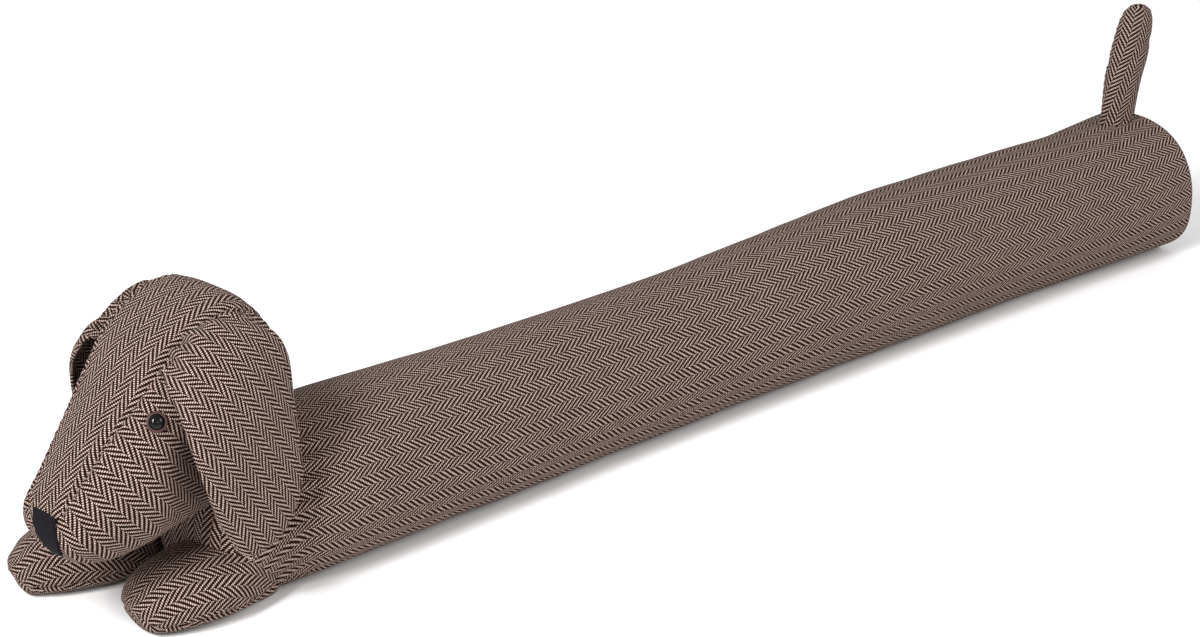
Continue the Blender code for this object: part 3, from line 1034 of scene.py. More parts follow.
@dataclass
class Head:
    """The filled head: two side panels and a gusset from the nose over the crown."""

    tip_x: float = -0.483
    tip_z: float = 0.077
    nape_x: float = -0.318
    nape_z: float = 0.108
    turn: float = 0.008
    turn_start_x: float = -0.370
    squareness: float = 2.2
    far_squareness: tuple = ((-0.460, 2.2), (-0.440, 2.5), (-0.415, 3.4), (-0.395, 4.7),
                             (-0.368, 4.8), (-0.345, 3.4), (-0.328, 2.2))
    lumps: tuple = (Lump(0.0012, 0.06, 11.2), Lump(0.0005, 0.024, 5.1))
    seam: Seam = Seam(groove=0.0016, groove_width=0.0018, pucker=0.00035, pucker_width=0.006,
                      stitch=0.0062, ridge=0.0005, ridge_place=0.0045, ridge_width=0.003, sway=2.0,
                      sway_seed=4.0)
    seam_places: tuple = ((1.0, 1.0), (2.0, 0.7), (3.0, 1.0))
    fill: float = 0.8
    coarse_rows: int = 44
    coarse_columns: tuple = (6, 16)
    fine_rows: int = 230
    fine_columns: tuple = (30, 88)
    side_weave: float = 51.0
    far_gusset: float = 1.5
    eye: tuple = (-0.4205, 0.1350)
    eye_depth: float = 0.0014
    eye_reach: float = 0.010
    hollow: tuple = (-0.4060, 0.1220)
    hollow_depth: float = 0.0020
    hollow_reach: float = 0.024
    tuck_x: float = -0.428
    tuck_length: float = 0.042
    tuck_depth: float = 0.020
    tuck_z: float = 0.104
    tuck_reach: float = 0.034
    sections: tuple = (
        HeadSection(-0.478, 0.0240, 0.0665, 0.0895, 0.0120),
        HeadSection(-0.465, 0.0320, 0.0560, 0.106, 0.0155),
        HeadSection(-0.448, 0.0375, 0.0515, 0.1265, 0.0190),
        HeadSection(-0.428, 0.0440, 0.0525, 0.146, 0.0215),
        HeadSection(-0.409, 0.048, 0.0545, 0.1665, 0.024),
        HeadSection(-0.392, 0.051, 0.0555, 0.1780, 0.0245),
        HeadSection(-0.374, 0.053, 0.0575, 0.1860, 0.026),
        HeadSection(-0.356, 0.053, 0.0600, 0.1880, 0.026),
        HeadSection(-0.340, 0.051, 0.0650, 0.1785, 0.024),
        HeadSection(-0.330, 0.045, 0.0690, 0.1610, 0.020),
        HeadSection(-0.322, 0.033, 0.082, 0.1380, 0.014),
    )

    def middle(self, x: np.ndarray) -> np.ndarray:
        """Give the sideways place of the head's middle, which turns a little to the left."""
        part = np.clip((self.turn_start_x - x) / (self.turn_start_x - self.tip_x), 0, None)
        return -self.turn * part ** 2

    def rings(self, rows: np.ndarray, columns: np.ndarray) -> np.ndarray:
        """Give the head's points.

        Args:
            rows: places along the sections, 0 at the tip of the muzzle.
            columns: places round the ring: 0 the crown, 1 the left seam, 2 the chin, 3 the right
                seam.

        Returns:
            The points, rows x columns x 3.
        """
        first, last = self.sections[0], self.sections[-1]
        tip = (self.tip_x, 0.0, self.tip_z, self.tip_z, 0.0)
        nape = (self.nape_x, 0.0, self.nape_z, self.nape_z, 0.0)
        before = (first.x, -first.half_width, first.top, first.bottom, -first.gusset)
        after = (last.x, -last.half_width, last.top, last.bottom, -last.gusset)
        read = spline(np.array([before, tip, *self.sections, nape, after]), rows + 1)
        x, half_width, bottom, top, gusset = (read[:, index:index + 1] for index in range(5))
        half_width = np.maximum(half_width, 1e-5)
        reach = np.where(columns > 2, self.far_gusset, 1.0)[None]
        share = np.clip(reach * gusset / half_width, 0, 0.97)
        far = np.interp(x, *np.array(self.far_squareness).T)
        square = np.where(columns > 2, far, self.squareness)
        seam = np.arccos(share ** (square / 2))
        near = np.where(columns > 2, 4 - columns, columns)[None]
        angle = np.where(near < 1, pi / 2 - (pi / 2 - seam) * near,
                         seam - (seam + pi / 2) * (near - 1))
        side = np.where(columns > 2, 1.0, -1.0)[None]
        y = side * half_width * rounded(np.cos(angle), square)
        z = (top + bottom) / 2 + (top - bottom) / 2 * rounded(np.sin(angle), square)
        return np.stack([x * np.ones_like(y), self.middle(x) + y, z], axis=-1)

    def columns(self, gusset: int, panel: int) -> np.ndarray:
        """List the column places, closer together at the seams.

        Args:
            gusset: the columns of half the gusset.
            panel: the columns of a side panel.

        Returns:
            The places, in order.
        """
        middle = np.linspace(0, 1, gusset, endpoint=False)
        half = 0.6 * np.sin(pi / 2 * middle) + 0.4 * middle
        even = np.linspace(0, 1, panel, endpoint=False)
        side = 1 + 0.45 * even + 0.55 * (1 - np.cos(pi * even)) / 2
        left = np.concatenate([half, side])
        right = 4 - left[1:][::-1]
        return np.concatenate([left, [2.0], right])

    def details(self, points: np.ndarray, columns: np.ndarray) -> np.ndarray:
        """Say how far each point stands out for seams, puckers, the eye's hollow and lumps.

        Args:
            points: the head's points.
            columns: the column places.

        Returns:
            How far each point stands out.
        """
        out = lumpy(points, self.lumps)
        eye = np.linalg.norm(points[..., [0, 2]] - np.array(self.eye), axis=-1)
        behind = points[..., [0, 2]] - np.array(self.hollow)
        spread = np.sqrt((behind[..., 0] / 0.5) ** 2 + behind[..., 1] ** 2)
        near = np.clip(-points[..., 1] / 0.02, 0, 1)
        out = out - near * (self.eye_depth * bell(eye, self.eye_reach)
                            + self.hollow_depth * bell(spread, self.hollow_reach))
        tuck = np.clip((points[..., 0] - self.tuck_x) / self.tuck_length, 0, 1) ** 1.4
        out = out - self.tuck_depth * tuck * bell(points[..., 2] - self.tuck_z, self.tuck_reach)
        rounds = run_length(points, 1)
        for place, depth in self.seam_places:
            seam = nearest(columns, place)
            line = points[:, seam:seam + 1]
            distance = rounds - rounds[:, seam:seam + 1]
            out = out + depth * self.seam.relief(distance, run_length(line, 0), line)
        return out

    def flat_side(self, points: np.ndarray, middle: int, block: slice) -> np.ndarray:
        """Lay a side panel out flat and turn its weave aslant.

        Args:
            points: the head's points.
            middle: the column that the panel is laid out from.
            block: the panel's columns.

        Returns:
            The panel's flat coordinates.
        """
        line = points[:, middle]
        x = run_length(line[:, None, :2], 0)[:, 0]
        rounds = run_length(points, 1)
        up = rounds[:, middle:middle + 1] - rounds[:, block]
        if points[len(points) // 2, block.start, 2] < line[len(points) // 2, 2]:
            up = -up
        guess = paired(up + line[:, 2:3], x[:, None])
        return turned_flat(flattened(points[:, block], guess), self.side_weave)

    def cut(self, points: np.ndarray, columns: np.ndarray) -> UvMap:
        """Lay the gusset and the two side panels out flat.

        Args:
            points: the head's points.
            columns: the column places.

        Returns:
            The flat coordinates.
        """
        count = len(columns)
        left, chin, right = (nearest(columns, place) for place in (1, 2, 3))
        closed = ring_closed(points)
        rounds = run_length(closed, 1)
        gusset = np.concatenate([closed[:, right:-1], closed[:, :left + 1]], axis=1)
        before_crown = rounds[:, right:-1] - rounds[:, -1:]
        across = np.concatenate([before_crown, rounds[:, :left + 1]], axis=1)
        flat = flattened(gusset, paired(across, run_length(points[:, :1], 0)))
        uv = UvMap(len(points) - 1, count)
        uv.lay(0, 0, flat[:, count - right:])
        uv.lay(0, right, flat[:, :count - right + 1])
        for start, end in ((left, chin), (chin, right)):
            panel = self.flat_side(points, (start + end) // 2, slice(start, end + 1))
            uv.lay(0, start, panel)
        return uv

    def build(self, cloth: bpy.types.Material) -> bpy.types.Object:
        """Build, fill and dress the head.

        Args:
            cloth: the tweed.

        Returns:
            The finished piece.
        """
        poles = ((self.tip_x, float(self.middle(np.array(self.tip_x))), self.tip_z),
                 (self.nape_x, 0.0, self.nape_z))
        spans = len(self.sections) + 1
        coarse = (np.linspace(0, spans, self.coarse_rows)[1:-1], self.columns(*self.coarse_columns))
        shell = self.rings(*coarse)
        held = np.isin(coarse[1], (1.0, 2.0, 3.0))[None] | (coarse[0] > spans - 2)[:, None]
        moves = Filling().settle("head", shell, poles, held | (coarse[0] < 1.2)[:, None])
        fine = (np.linspace(0, spans, self.fine_rows)[1:-1], self.columns(*self.fine_columns))
        points = self.rings(*fine) + carried(moves, coarse, fine, 4.0)
        fade = np.clip((fine[0] - 0.3) / 1.0, 0, 1)[:, None, None]
        points = points + fade * outward(points) * self.details(points, fine[1])[..., None]
        return padded_piece("head_panels", "head", points, self.cut(points, fine[1]), poles, cloth)


@dataclass
class Paw:
    """A filled paw that lies on the floor: an upper panel and a sole sewn round the toe."""

    side: Side
    toe: tuple
    root: tuple
    width: float = 1.0
    squareness: float = 2.05
    sink: float = 0.06
    toe_height: float = 0.014
    sole_turn: float = 0.36 * pi
    weave: float = -13.0
    draw: tuple = (1.0, 1.08)
    fill: float = 0.75
    cap: float = 0.003
    coarse: tuple = (26, 32)
    fine: tuple = (130, 144)
    lumps: tuple = (Lump(0.0010, 0.035, 20.0), Lump(0.0004, 0.014, 23.0))
    seam: Seam = Seam(groove=0.0011, groove_width=0.0013, pucker=0.0003, pucker_width=0.005,
                      stitch=0.0055, ridge=0.0004, ridge_place=0.0035, ridge_width=0.0025, sway=3.0,
                      sway_seed=9.0)
    sections: tuple = (
        TubeSection(0.004, 0.0148, 0.023),
        TubeSection(0.012, 0.0230, 0.031),
        TubeSection(0.028, 0.0298, 0.037),
        TubeSection(0.055, 0.0315, 0.042),
        TubeSection(0.080, 0.0225, 0.043),
        TubeSection(0.094, 0.0110, 0.034),
    )

    def rings(self, rows: np.ndarray, turns: np.ndarray) -> np.ndarray:
        """Give the paw's points.

        Args:
            rows: the row places, 0 at the toe.
            turns: the angles round the paw, from the foot.

        Returns:
            The points, rows x angles x 3.
        """
        first = self.sections[0]
        table = np.array([(first.place, -first.half_width, first.height),
                          (0.0, 0.0, 2 * self.toe_height), *self.sections])
        place, half_width, height = spline(table, rows + 1).T
        half_width = np.maximum(half_width * self.width, 1e-5)
        lift = self.toe_height * np.clip(1 - place / self.sections[1].place, 0, None) ** 2
        side, rise = oval_ring(half_width, height - lift, np.zeros_like(place), self.sink,
                               self.squareness, turns, -lift)
        squeeze = np.clip(half_width / (first.half_width * self.width), 0, 1)[:, None]
        middle = (self.toe_height - lift)[:, None]
        rise = middle + (rise - middle) * squeeze
        along = self.heading()
        across = np.array([-along[1], along[0]])
        flat = np.array(self.toe) + place[:, None, None] * along + side[..., None] * across
        return np.concatenate([flat, (rise + lift[:, None])[..., None]], axis=-1)

    def heading(self) -> np.ndarray:
        """Give the direction on the floor from the toe to the root."""
        return unit(np.array(self.root) - np.array(self.toe))

    def details(self, points: np.ndarray, turns: np.ndarray) -> np.ndarray:
        """Say how far each point stands out for lumps and the sole's seam.

        Args:
            points: the paw's points.
            turns: the angles.

        Returns:
            How far each point stands out.
        """
        out = lumpy(points, self.lumps, self.side.value)
        rounds = run_length(points, 1)
        for seam in self.seams(turns):
            line = points[:, seam:seam + 1]
            distance = rounds - rounds[:, seam:seam + 1]
            out = out + self.seam.relief(distance, run_length(line, 0), line)
        return out

    def seams(self, turns: np.ndarray) -> tuple:
        """Give the columns of the two seams of the sole."""
        return nearest(turns, self.sole_turn), nearest(turns, 2 * pi - self.sole_turn)

    def cut(self, points: np.ndarray, turns: np.ndarray) -> UvMap:
        """Lay the upper panel and the sole out flat.

        Args:
            points: the paw's points.
            turns: the angles.

        Returns:
            The flat coordinates.
        """
        closed = ring_closed(points)
        rounds = run_length(closed, 1)
        count = len(turns)
        first, second = self.seams(turns)
        uv = UvMap(len(points) - 1, count)
        for begin, last, middle in ((0, first, 0), (first, second, count // 2),
                                    (second, count, count)):
            span = rounds[:, begin:last + 1] - rounds[:, middle:middle + 1]
            guess = paired(span, run_length(closed[:, middle:middle + 1], 0))
            flat = flattened(closed[:, begin:last + 1], guess)
            uv.lay(0, begin, turned_flat(flat, self.weave, self.draw))
        return uv

    def build(self, cloth: bpy.types.Material) -> bpy.types.Object:
        """Build, fill and dress the paw.

        Args:
            cloth: the tweed.

        Returns:
            The finished piece.
        """
        spans = len(self.sections)
        back = np.array(self.toe) + (self.sections[-1].place + 0.003) * self.heading()
        poles = ((*self.toe, self.toe_height), (*back, self.sections[-1].height / 2))
        coarse, fine = ((np.linspace(0, spans, rows)[1:], even_turns(count))
                        for rows, count in (self.coarse, self.fine))
        shell = self.rings(*coarse)
        held = (shell[..., 2] < 0.002) | (coarse[0] > spans - 1)[:, None]
        node = f"paw_{self.side.word}"
        moves = Filling(cap=self.cap).settle(node, shell, poles, held)
        points = self.rings(*fine) + carried(moves, coarse, fine, 2 * pi)
        fade = np.clip(fine[0] / 1.6, 0, 1)[:, None, None]
        points = points + fade * outward(points) * self.details(points, fine[1])[..., None]
        points[..., 2] = np.maximum(points[..., 2], 0.0)
        return padded_piece(f"{node}_filled", node, points, self.cut(points, fine[1]), poles, cloth)


@dataclass
class Tail:
    """The flat filled tail, seamed along its front and rear edges."""

    x: float = 0.4620
    foot_z: float = 0.098
    tip_rise: float = 0.0875
    crease_rise: float = 0.052
    front_seam: float = 0.80 * pi
    crease_depth: float = 0.0008
    weave: float = -13.0
    draw: tuple = (0.86, 1.2)
    fill: float = 0.7
    cap: float = 0.002
    coarse: tuple = (24, 24)
    fine: tuple = (120, 96)
    lumps: tuple = (Lump(0.0007, 0.022, 31.0),)
    seam: Seam = Seam(groove=0.0011, groove_width=0.0012, pucker=0.0003, pucker_width=0.004,
                      stitch=0.0058)
    sections: tuple = (
        TailSection(-0.012, -0.0040, 0.0145, 0.0088),
        TailSection(0.002, -0.0025, 0.0158, 0.0090),
        TailSection(0.014, -0.0008, 0.0168, 0.0096),
        TailSection(0.034, 0.0025, 0.0181, 0.0106),
        TailSection(0.055, 0.0080, 0.0184, 0.0110),
        TailSection(0.071, 0.0115, 0.0168, 0.0102),
        TailSection(0.081, 0.0135, 0.0130, 0.0082),
        TailSection(0.086, 0.0140, 0.0075, 0.0047),
    )

    def rings(self, rows: np.ndarray, turns: np.ndarray) -> np.ndarray:
        """Give the tail's points.

        Args:
            rows: the row places, 0 at the foot.
            turns: the angles round the tail, from the rear edge.

        Returns:
            The points, rows x angles x 3.
        """
        rise, lean, half_length, half_width = (
            column[:, None] for column in spline(np.array(self.sections), rows).T)
        x = self.x + lean + half_length * np.cos(turns)[None]
        y = half_width * np.sin(turns)[None]
        return np.stack([x, y, (self.foot_z + rise) * np.ones_like(x)], axis=-1)

    def details(self, points: np.ndarray, turns: np.ndarray) -> np.ndarray:
        """Say how far each point stands out for the seams, the crease and lumps.

        Args:
            points: the tail's points.
            turns: the angles.

        Returns:
            How far each point stands out.
        """
        out = lumpy(points, self.lumps)
        rounds = run_length(points, 1)
        for seam in (0, nearest(turns, self.front_seam)):
            distance = rounds - rounds[:, seam:seam + 1]
            if seam == 0:
                whole = rounds[:, -1:] + rounds[:, 1:2]
                distance = np.minimum(rounds, whole - rounds)
            line = points[:, seam:seam + 1]
            out = out + self.seam.relief(distance, line[..., 2], line)
        level = self.foot_z + self.crease_rise + 0.45 * (points[..., 0] - self.x - 0.006)
        out = out - self.crease_depth * bell(points[..., 2] - level, 0.0035)
        foot = bell(points[..., 2] - self.foot_z, 0.009)
        return out + 0.0007 * foot * np.cos(9 * turns)[None]

    def cut(self, points: np.ndarray, turns: np.ndarray) -> UvMap:
        """Lay the tail's two halves out flat.

        Args:
            points: the tail's points.
            turns: the angles.

        Returns:
            The flat coordinates.
        """
        closed = ring_closed(points)
        seam = nearest(turns, self.front_seam)
        uv = UvMap(len(points) - 1, len(turns))
        for start, last in ((0, seam), (seam, len(turns))):
            block = closed[:, start:last + 1]
            middle = block.shape[1] // 2
            rounds = run_length(block, 1)
            span = rounds - rounds[:, middle:middle + 1]
            guess = paired(span + 0.0030, run_length(block[:, middle:middle + 1], 0))
            uv.lay(0, start, turned_flat(flattened(block, guess), self.weave, self.draw))
        return uv

    def build(self, cloth: bpy.types.Material) -> bpy.types.Object:
        """Build, fill and dress the tail.

        Args:
            cloth: the tweed.

        Returns:
            The finished piece.
        """
        last = self.sections[-1]
        poles = ((self.x + self.sections[0].lean, 0.0, self.foot_z + self.sections[0].rise),
                 (self.x + last.lean, 0.0, self.foot_z + self.tip_rise))
        spans = len(self.sections) - 1
        coarse, fine = ((np.linspace(0, spans, rows), even_turns(count))
                        for rows, count in (self.coarse, self.fine))
        shell = self.rings(*coarse)
        edges = np.arange(self.coarse[1]) % (self.coarse[1] // 2) == 0
        held = edges[None] | (coarse[0] < 1)[:, None]
        moves = Filling(cap=self.cap).settle("tail", shell, poles, held)
        points = self.rings(*fine) + carried(moves, coarse, fine, 2 * pi)
        points = points + outward(points) * self.details(points, fine[1])[..., None]
        return padded_piece("tail_filled", "tail", points, self.cut(points, fine[1]), poles, cloth)


LEFT_EAR = (
    EarRow(-0.4080, 0.0210, 0.1560, -0.387, 0.0220, 0.1745, -0.360, 0.0220, 0.1755),
    EarRow(-0.4110, 0.0310, 0.1580, -0.386, 0.0340, 0.1795, -0.3580, 0.0310, 0.1790),
    EarRow(-0.4140, 0.0420, 0.1515, -0.383, 0.0485, 0.1695, -0.3445, 0.0430, 0.1725),
    EarRow(-0.4145, 0.0540, 0.1370, -0.3795, 0.0590, 0.1530, -0.3375, 0.0485, 0.1570),
    EarRow(-0.4130, 0.0620, 0.1180, -0.377, 0.0640, 0.1280, -0.3380, 0.0530, 0.1310),
    EarRow(-0.4095, 0.0650, 0.1020, -0.374, 0.0660, 0.1040, -0.3385, 0.0570, 0.1070),
    EarRow(-0.4045, 0.0655, 0.0840, -0.372, 0.0670, 0.0820, -0.3400, 0.0610, 0.0850),
    EarRow(-0.3975, 0.0650, 0.0660, -0.370, 0.0665, 0.0620, -0.348, 0.0635, 0.0670),
    EarRow(-0.3885, 0.0640, 0.0520, -0.375, 0.0645, 0.0490, -0.360, 0.0630, 0.0530),
)
RIGHT_EAR = (
    EarRow(-0.3990, 0.0370, 0.1560, -0.386, 0.0375, 0.1760, -0.362, 0.0375, 0.1780),
    EarRow(-0.4105, 0.0450, 0.1565, -0.390, 0.0470, 0.1725, -0.360, 0.0470, 0.1740),
    EarRow(-0.4175, 0.0540, 0.1525, -0.390, 0.0555, 0.1630, -0.352, 0.0530, 0.1650),
    EarRow(-0.4205, 0.0585, 0.1415, -0.387, 0.0600, 0.1480, -0.345, 0.0550, 0.1490),
    EarRow(-0.4195, 0.0605, 0.1230, -0.381, 0.0615, 0.1280, -0.341, 0.0570, 0.1290),
    EarRow(-0.4140, 0.0605, 0.1010, -0.375, 0.0625, 0.1040, -0.340, 0.0590, 0.1070),
    EarRow(-0.4050, 0.0620, 0.0840, -0.372, 0.0650, 0.0820, -0.342, 0.0620, 0.0850),
    EarRow(-0.3975, 0.0640, 0.0660, -0.370, 0.0660, 0.0620, -0.347, 0.0645, 0.0670),
    EarRow(-0.3870, 0.0640, 0.0540, -0.374, 0.0650, 0.0495, -0.361, 0.0640, 0.0525),
)


@dataclass
class Ear:
    """A double-layered ear, caught in the gusset seam and hanging down the cheek."""

    side: Side
    rows: tuple
    curl: float
    thickness: float = 0.0036
    clearance: float = 0.0008
    free_row: float = 0.8
    steps: tuple = (130, 72)
    width: float = 0.065
    tip_room: float = 0.0004
    edge_round: float = 0.004
    edge_share: float = 0.22
    rib_depth: float = 0.0005
    rib_place: float = 0.0032
    rib_width: float = 0.0009
    weave: float = 64.0
    draw: tuple = (1.15, 1.03)
    lumps: tuple = (Lump(0.0011, 0.045, 40.0), Lump(0.0004, 0.018, 42.0))
    tuck_depth: float = 0.0025
    tucks: float = 4.5

    def sheet(self, rows: np.ndarray, parts: np.ndarray) -> np.ndarray:
        """Give the ear's outer face.

        Args:
            rows: the row places, 0 at the root.
            parts: the places across, 0 at the front edge and 1 at the back edge.

        Returns:
            The points, rows x parts x 3.
        """
        read = spline(np.array(self.rows), rows)
        front, middle, back = (read[:, None, index:index + 3] for index in (0, 3, 6))
        bend = 2 * middle - (front + back) / 2
        part = parts[None, :, None]
        points = (1 - part) ** 2 * front + 2 * part * (1 - part) * bend + part ** 2 * back
        curled = np.clip(rows - 1, 0, 1)[:, None] * np.exp(-parts / 0.07)[None]
        points[..., 1] -= self.curl * curled
        return points * np.array([1.0, self.side.value, 1.0])

    def details(self, points: np.ndarray, rows: np.ndarray, parts: np.ndarray) -> np.ndarray:
        """Say how far each point stands out for tucks at the root and soft waves.

        Args:
            points: the ear's points.
            rows: the row places.
            parts: the places across.

        Returns:
            How far each point stands out.
        """
        out = lumpy(points, self.lumps, 5 * self.side.value)
        fall = np.exp(-np.maximum(rows - 0.6, 0) / 0.8)[:, None]
        tuck = np.cos(2 * pi * self.tucks * parts)[None] * (0.5 + 0.5 * np.cos(pi * parts))[None]
        return out + self.tuck_depth * fall * tuck

    def half_thickness(self, face: np.ndarray, parts: np.ndarray) -> np.ndarray:
        """Give half the ear's thickness, thin at its edges and pressed in along the edge's seam.

        Args:
            face: the ear's points.
            parts: the places across.

        Returns:
            Half the thickness at each point.
        """
        foot = run_length(face, 0)
        side = np.minimum(parts, 1 - parts)[None] * self.width
        edge = np.minimum(side, foot[-1:] - foot + self.tip_room)
        puff = np.sqrt(np.clip(1 - (1 - np.clip(edge / self.edge_round, 0, 1)) ** 2, 0, 1))
        rib = -self.rib_depth * bell(edge - self.rib_place, self.rib_width)
        return self.thickness / 2 * (self.edge_share + (1 - self.edge_share) * puff) + rib

    def cut(self, outer: np.ndarray) -> UvMap:
        """Lay the ear's two layers and the strips between them out flat.

        Args:
            outer: the points of the outer layer.

        Returns:
            The flat coordinates.
        """
        count = outer.shape[1]
        middle = slice(count // 2, count // 2 + 1)
        across = run_length(outer, 1)
        across = across - across[:, middle]
        along = run_length(outer[:, middle], 0)
        flat = flattened(outer, np.stack([-along * np.ones_like(across), across], axis=-1))
        flat = turned_flat(flat, self.weave, self.draw)
        uv = UvMap(len(outer) - 1, 2 * count)
        uv.lay(0, 0, flat)
        uv.lay(0, count, flat[:, ::-1])
        for column, edge in ((count - 1, flat[:, -1]), (2 * count - 1, flat[:, 0])):
            uv.lay(0, column, np.stack([edge, edge + 0.002], axis=1))
        return uv

    def build(self, cloth: bpy.types.Material, head: BVHTree) -> bpy.types.Object:
        """Build the two layers, keep them off the head and dress them.

        Args:
            cloth: the tweed.
            head: the head's surface.

        Returns:
            The finished piece.
        """
        rows = np.linspace(0, len(self.rows) - 1, self.steps[0])
        parts = np.linspace(0, 1, self.steps[1])
        face = self.sheet(rows, parts)
        out = unit(np.cross(np.gradient(face, axis=1), np.gradient(face, axis=0)))
        out = out * np.sign((out * np.array([0, self.side.value, 0])).sum(axis=-1).mean())
        face = face + out * self.details(face, rows, parts)[..., None]
        face = self.kept_off(face, head, rows)
        half = self.half_thickness(face, parts)[..., None]
        middle = face - out * self.thickness / 2
        outer, inner = middle + out * half, middle - out * half
        points = np.concatenate([outer, inner[:, ::-1]], axis=1)
        item = grid_object(f"ear_{self.side.word}_sewn", points, self.cut(outer), (None, None))
        dress(item, cloth, SlotName.TWEED, f"ear_{self.side.word}")
        return item

    def kept_off(self, face: np.ndarray, head: BVHTree, rows: np.ndarray) -> np.ndarray:
        """Move the ear's points out to where they clear the head by the ear's thickness.

        Args:
            face: the ear's points.
            head: the head's surface.
            rows: the row places.

        Returns:
            The moved points.
        """
        kept = face.copy()
        for row, place in enumerate(rows):
            room = self.thickness + self.clearance if place > self.free_row else 0.0
            share = min(place / self.free_row, 1.0)
            for column in range(face.shape[1]):
                point = Vector(face[row, column])
                spot, normal, _, _ = head.find_nearest(point)
                depth = (point - spot).dot(normal)
                if depth < room:
                    kept[row, column] += np.array(normal) * (room - depth) * share
        return kept


@dataclass
class NosePatch:
    """A shield of felt sewn over the tip of the muzzle."""

    half_width: float = 0.0100
    point_half_width: float = 0.0018
    tapers: tuple = (2.1, 1.25)
    top_z: float = 0.0886
    drop: float = 0.0204
    bulge: float = 0.0015
    top_y: float = -0.0077
    point_y: float = -0.0208
    thickness: float = 0.0016
    edge_round: float = 0.0009
    edge_share: float = 0.45
    arch: float = 0.0006
    lift: float = 0.0002
    steps: int = 44

    def build(self, felt: bpy.types.Material, head: BVHTree) -> bpy.types.Object:
        """Lay the patch on the head and dress it.

        Args:
            felt: the felt.
            head: the head's surface.

        Returns:
            The finished piece.
        """
        parts = np.linspace(0, 1, self.steps)
        under, over, flat = [], [], []
        for part in parts:
            slack = self.half_width - self.point_half_width
            sides = [self.point_half_width + slack * (1 - part ** taper)
                     + self.bulge * sin(pi * part) for taper in self.tapers]
            middle = self.top_y + (self.point_y - self.top_y) * part
            level = self.top_z - self.drop * part
            for place in 2 * parts - 1:
                reach = sides[place > 0]
                arch = self.arch * (1 - place ** 2) * (1 - part)
                start = Vector((-1.5, middle + reach * place, level + arch))
                spot, normal, _, _ = head.ray_cast(start, Vector((1, 0, 0)))
                edge = min(1 - abs(place), part, 1 - part) * self.half_width
                puff = (1 - (1 - min(edge / self.edge_round, 1.0)) ** 2) ** 0.5
                swell = self.thickness * (self.edge_share + (1 - self.edge_share) * puff)
                under.append(spot + self.lift * normal)
                over.append(spot + (self.lift + float(swell)) * normal)
                flat.append((reach * place, level))
        shape = (self.steps, self.steps, 3)
        layers = [np.array([tuple(point) for point in layer]).reshape(shape)
                  for layer in (over, under)]
        points = np.concatenate([layers[0], layers[1][:, ::-1]], axis=1)
        sheet = np.array(flat).reshape(self.steps, self.steps, 2)
        uv = UvMap(self.steps - 1, 2 * self.steps)
        uv.lay(0, 0, sheet)
        uv.lay(0, self.steps, sheet[:, ::-1])
        item = grid_object("nose_felt", points, uv, (None, None))
        dress(item, felt, SlotName.FELT, "nose")
        return item


def only_active(item: bpy.types.Object) -> None:
    """Select one object and make it the active one.

    Args:
        item: the object.
    """
    bpy.ops.object.select_all(action="DESELECT")
    item.select_set(True)
    bpy.context.view_layer.objects.active = item


def select_faces(item: bpy.types.Object, wanted: Callable[[bpy.types.MeshPolygon], bool]) -> None:
    """Select the faces of an object that pass a test, in face mode, and enter edit mode.

    Args:
        item: the object.
        wanted: the test.
    """
    bpy.ops.object.mode_set(mode="EDIT")
    bpy.ops.mesh.select_mode(type="FACE")
    bpy.ops.mesh.select_all(action="DESELECT")
    bpy.ops.object.mode_set(mode="OBJECT")
    for face in item.data.polygons:
        face.select = wanted(face)
    bpy.ops.object.mode_set(mode="EDIT")


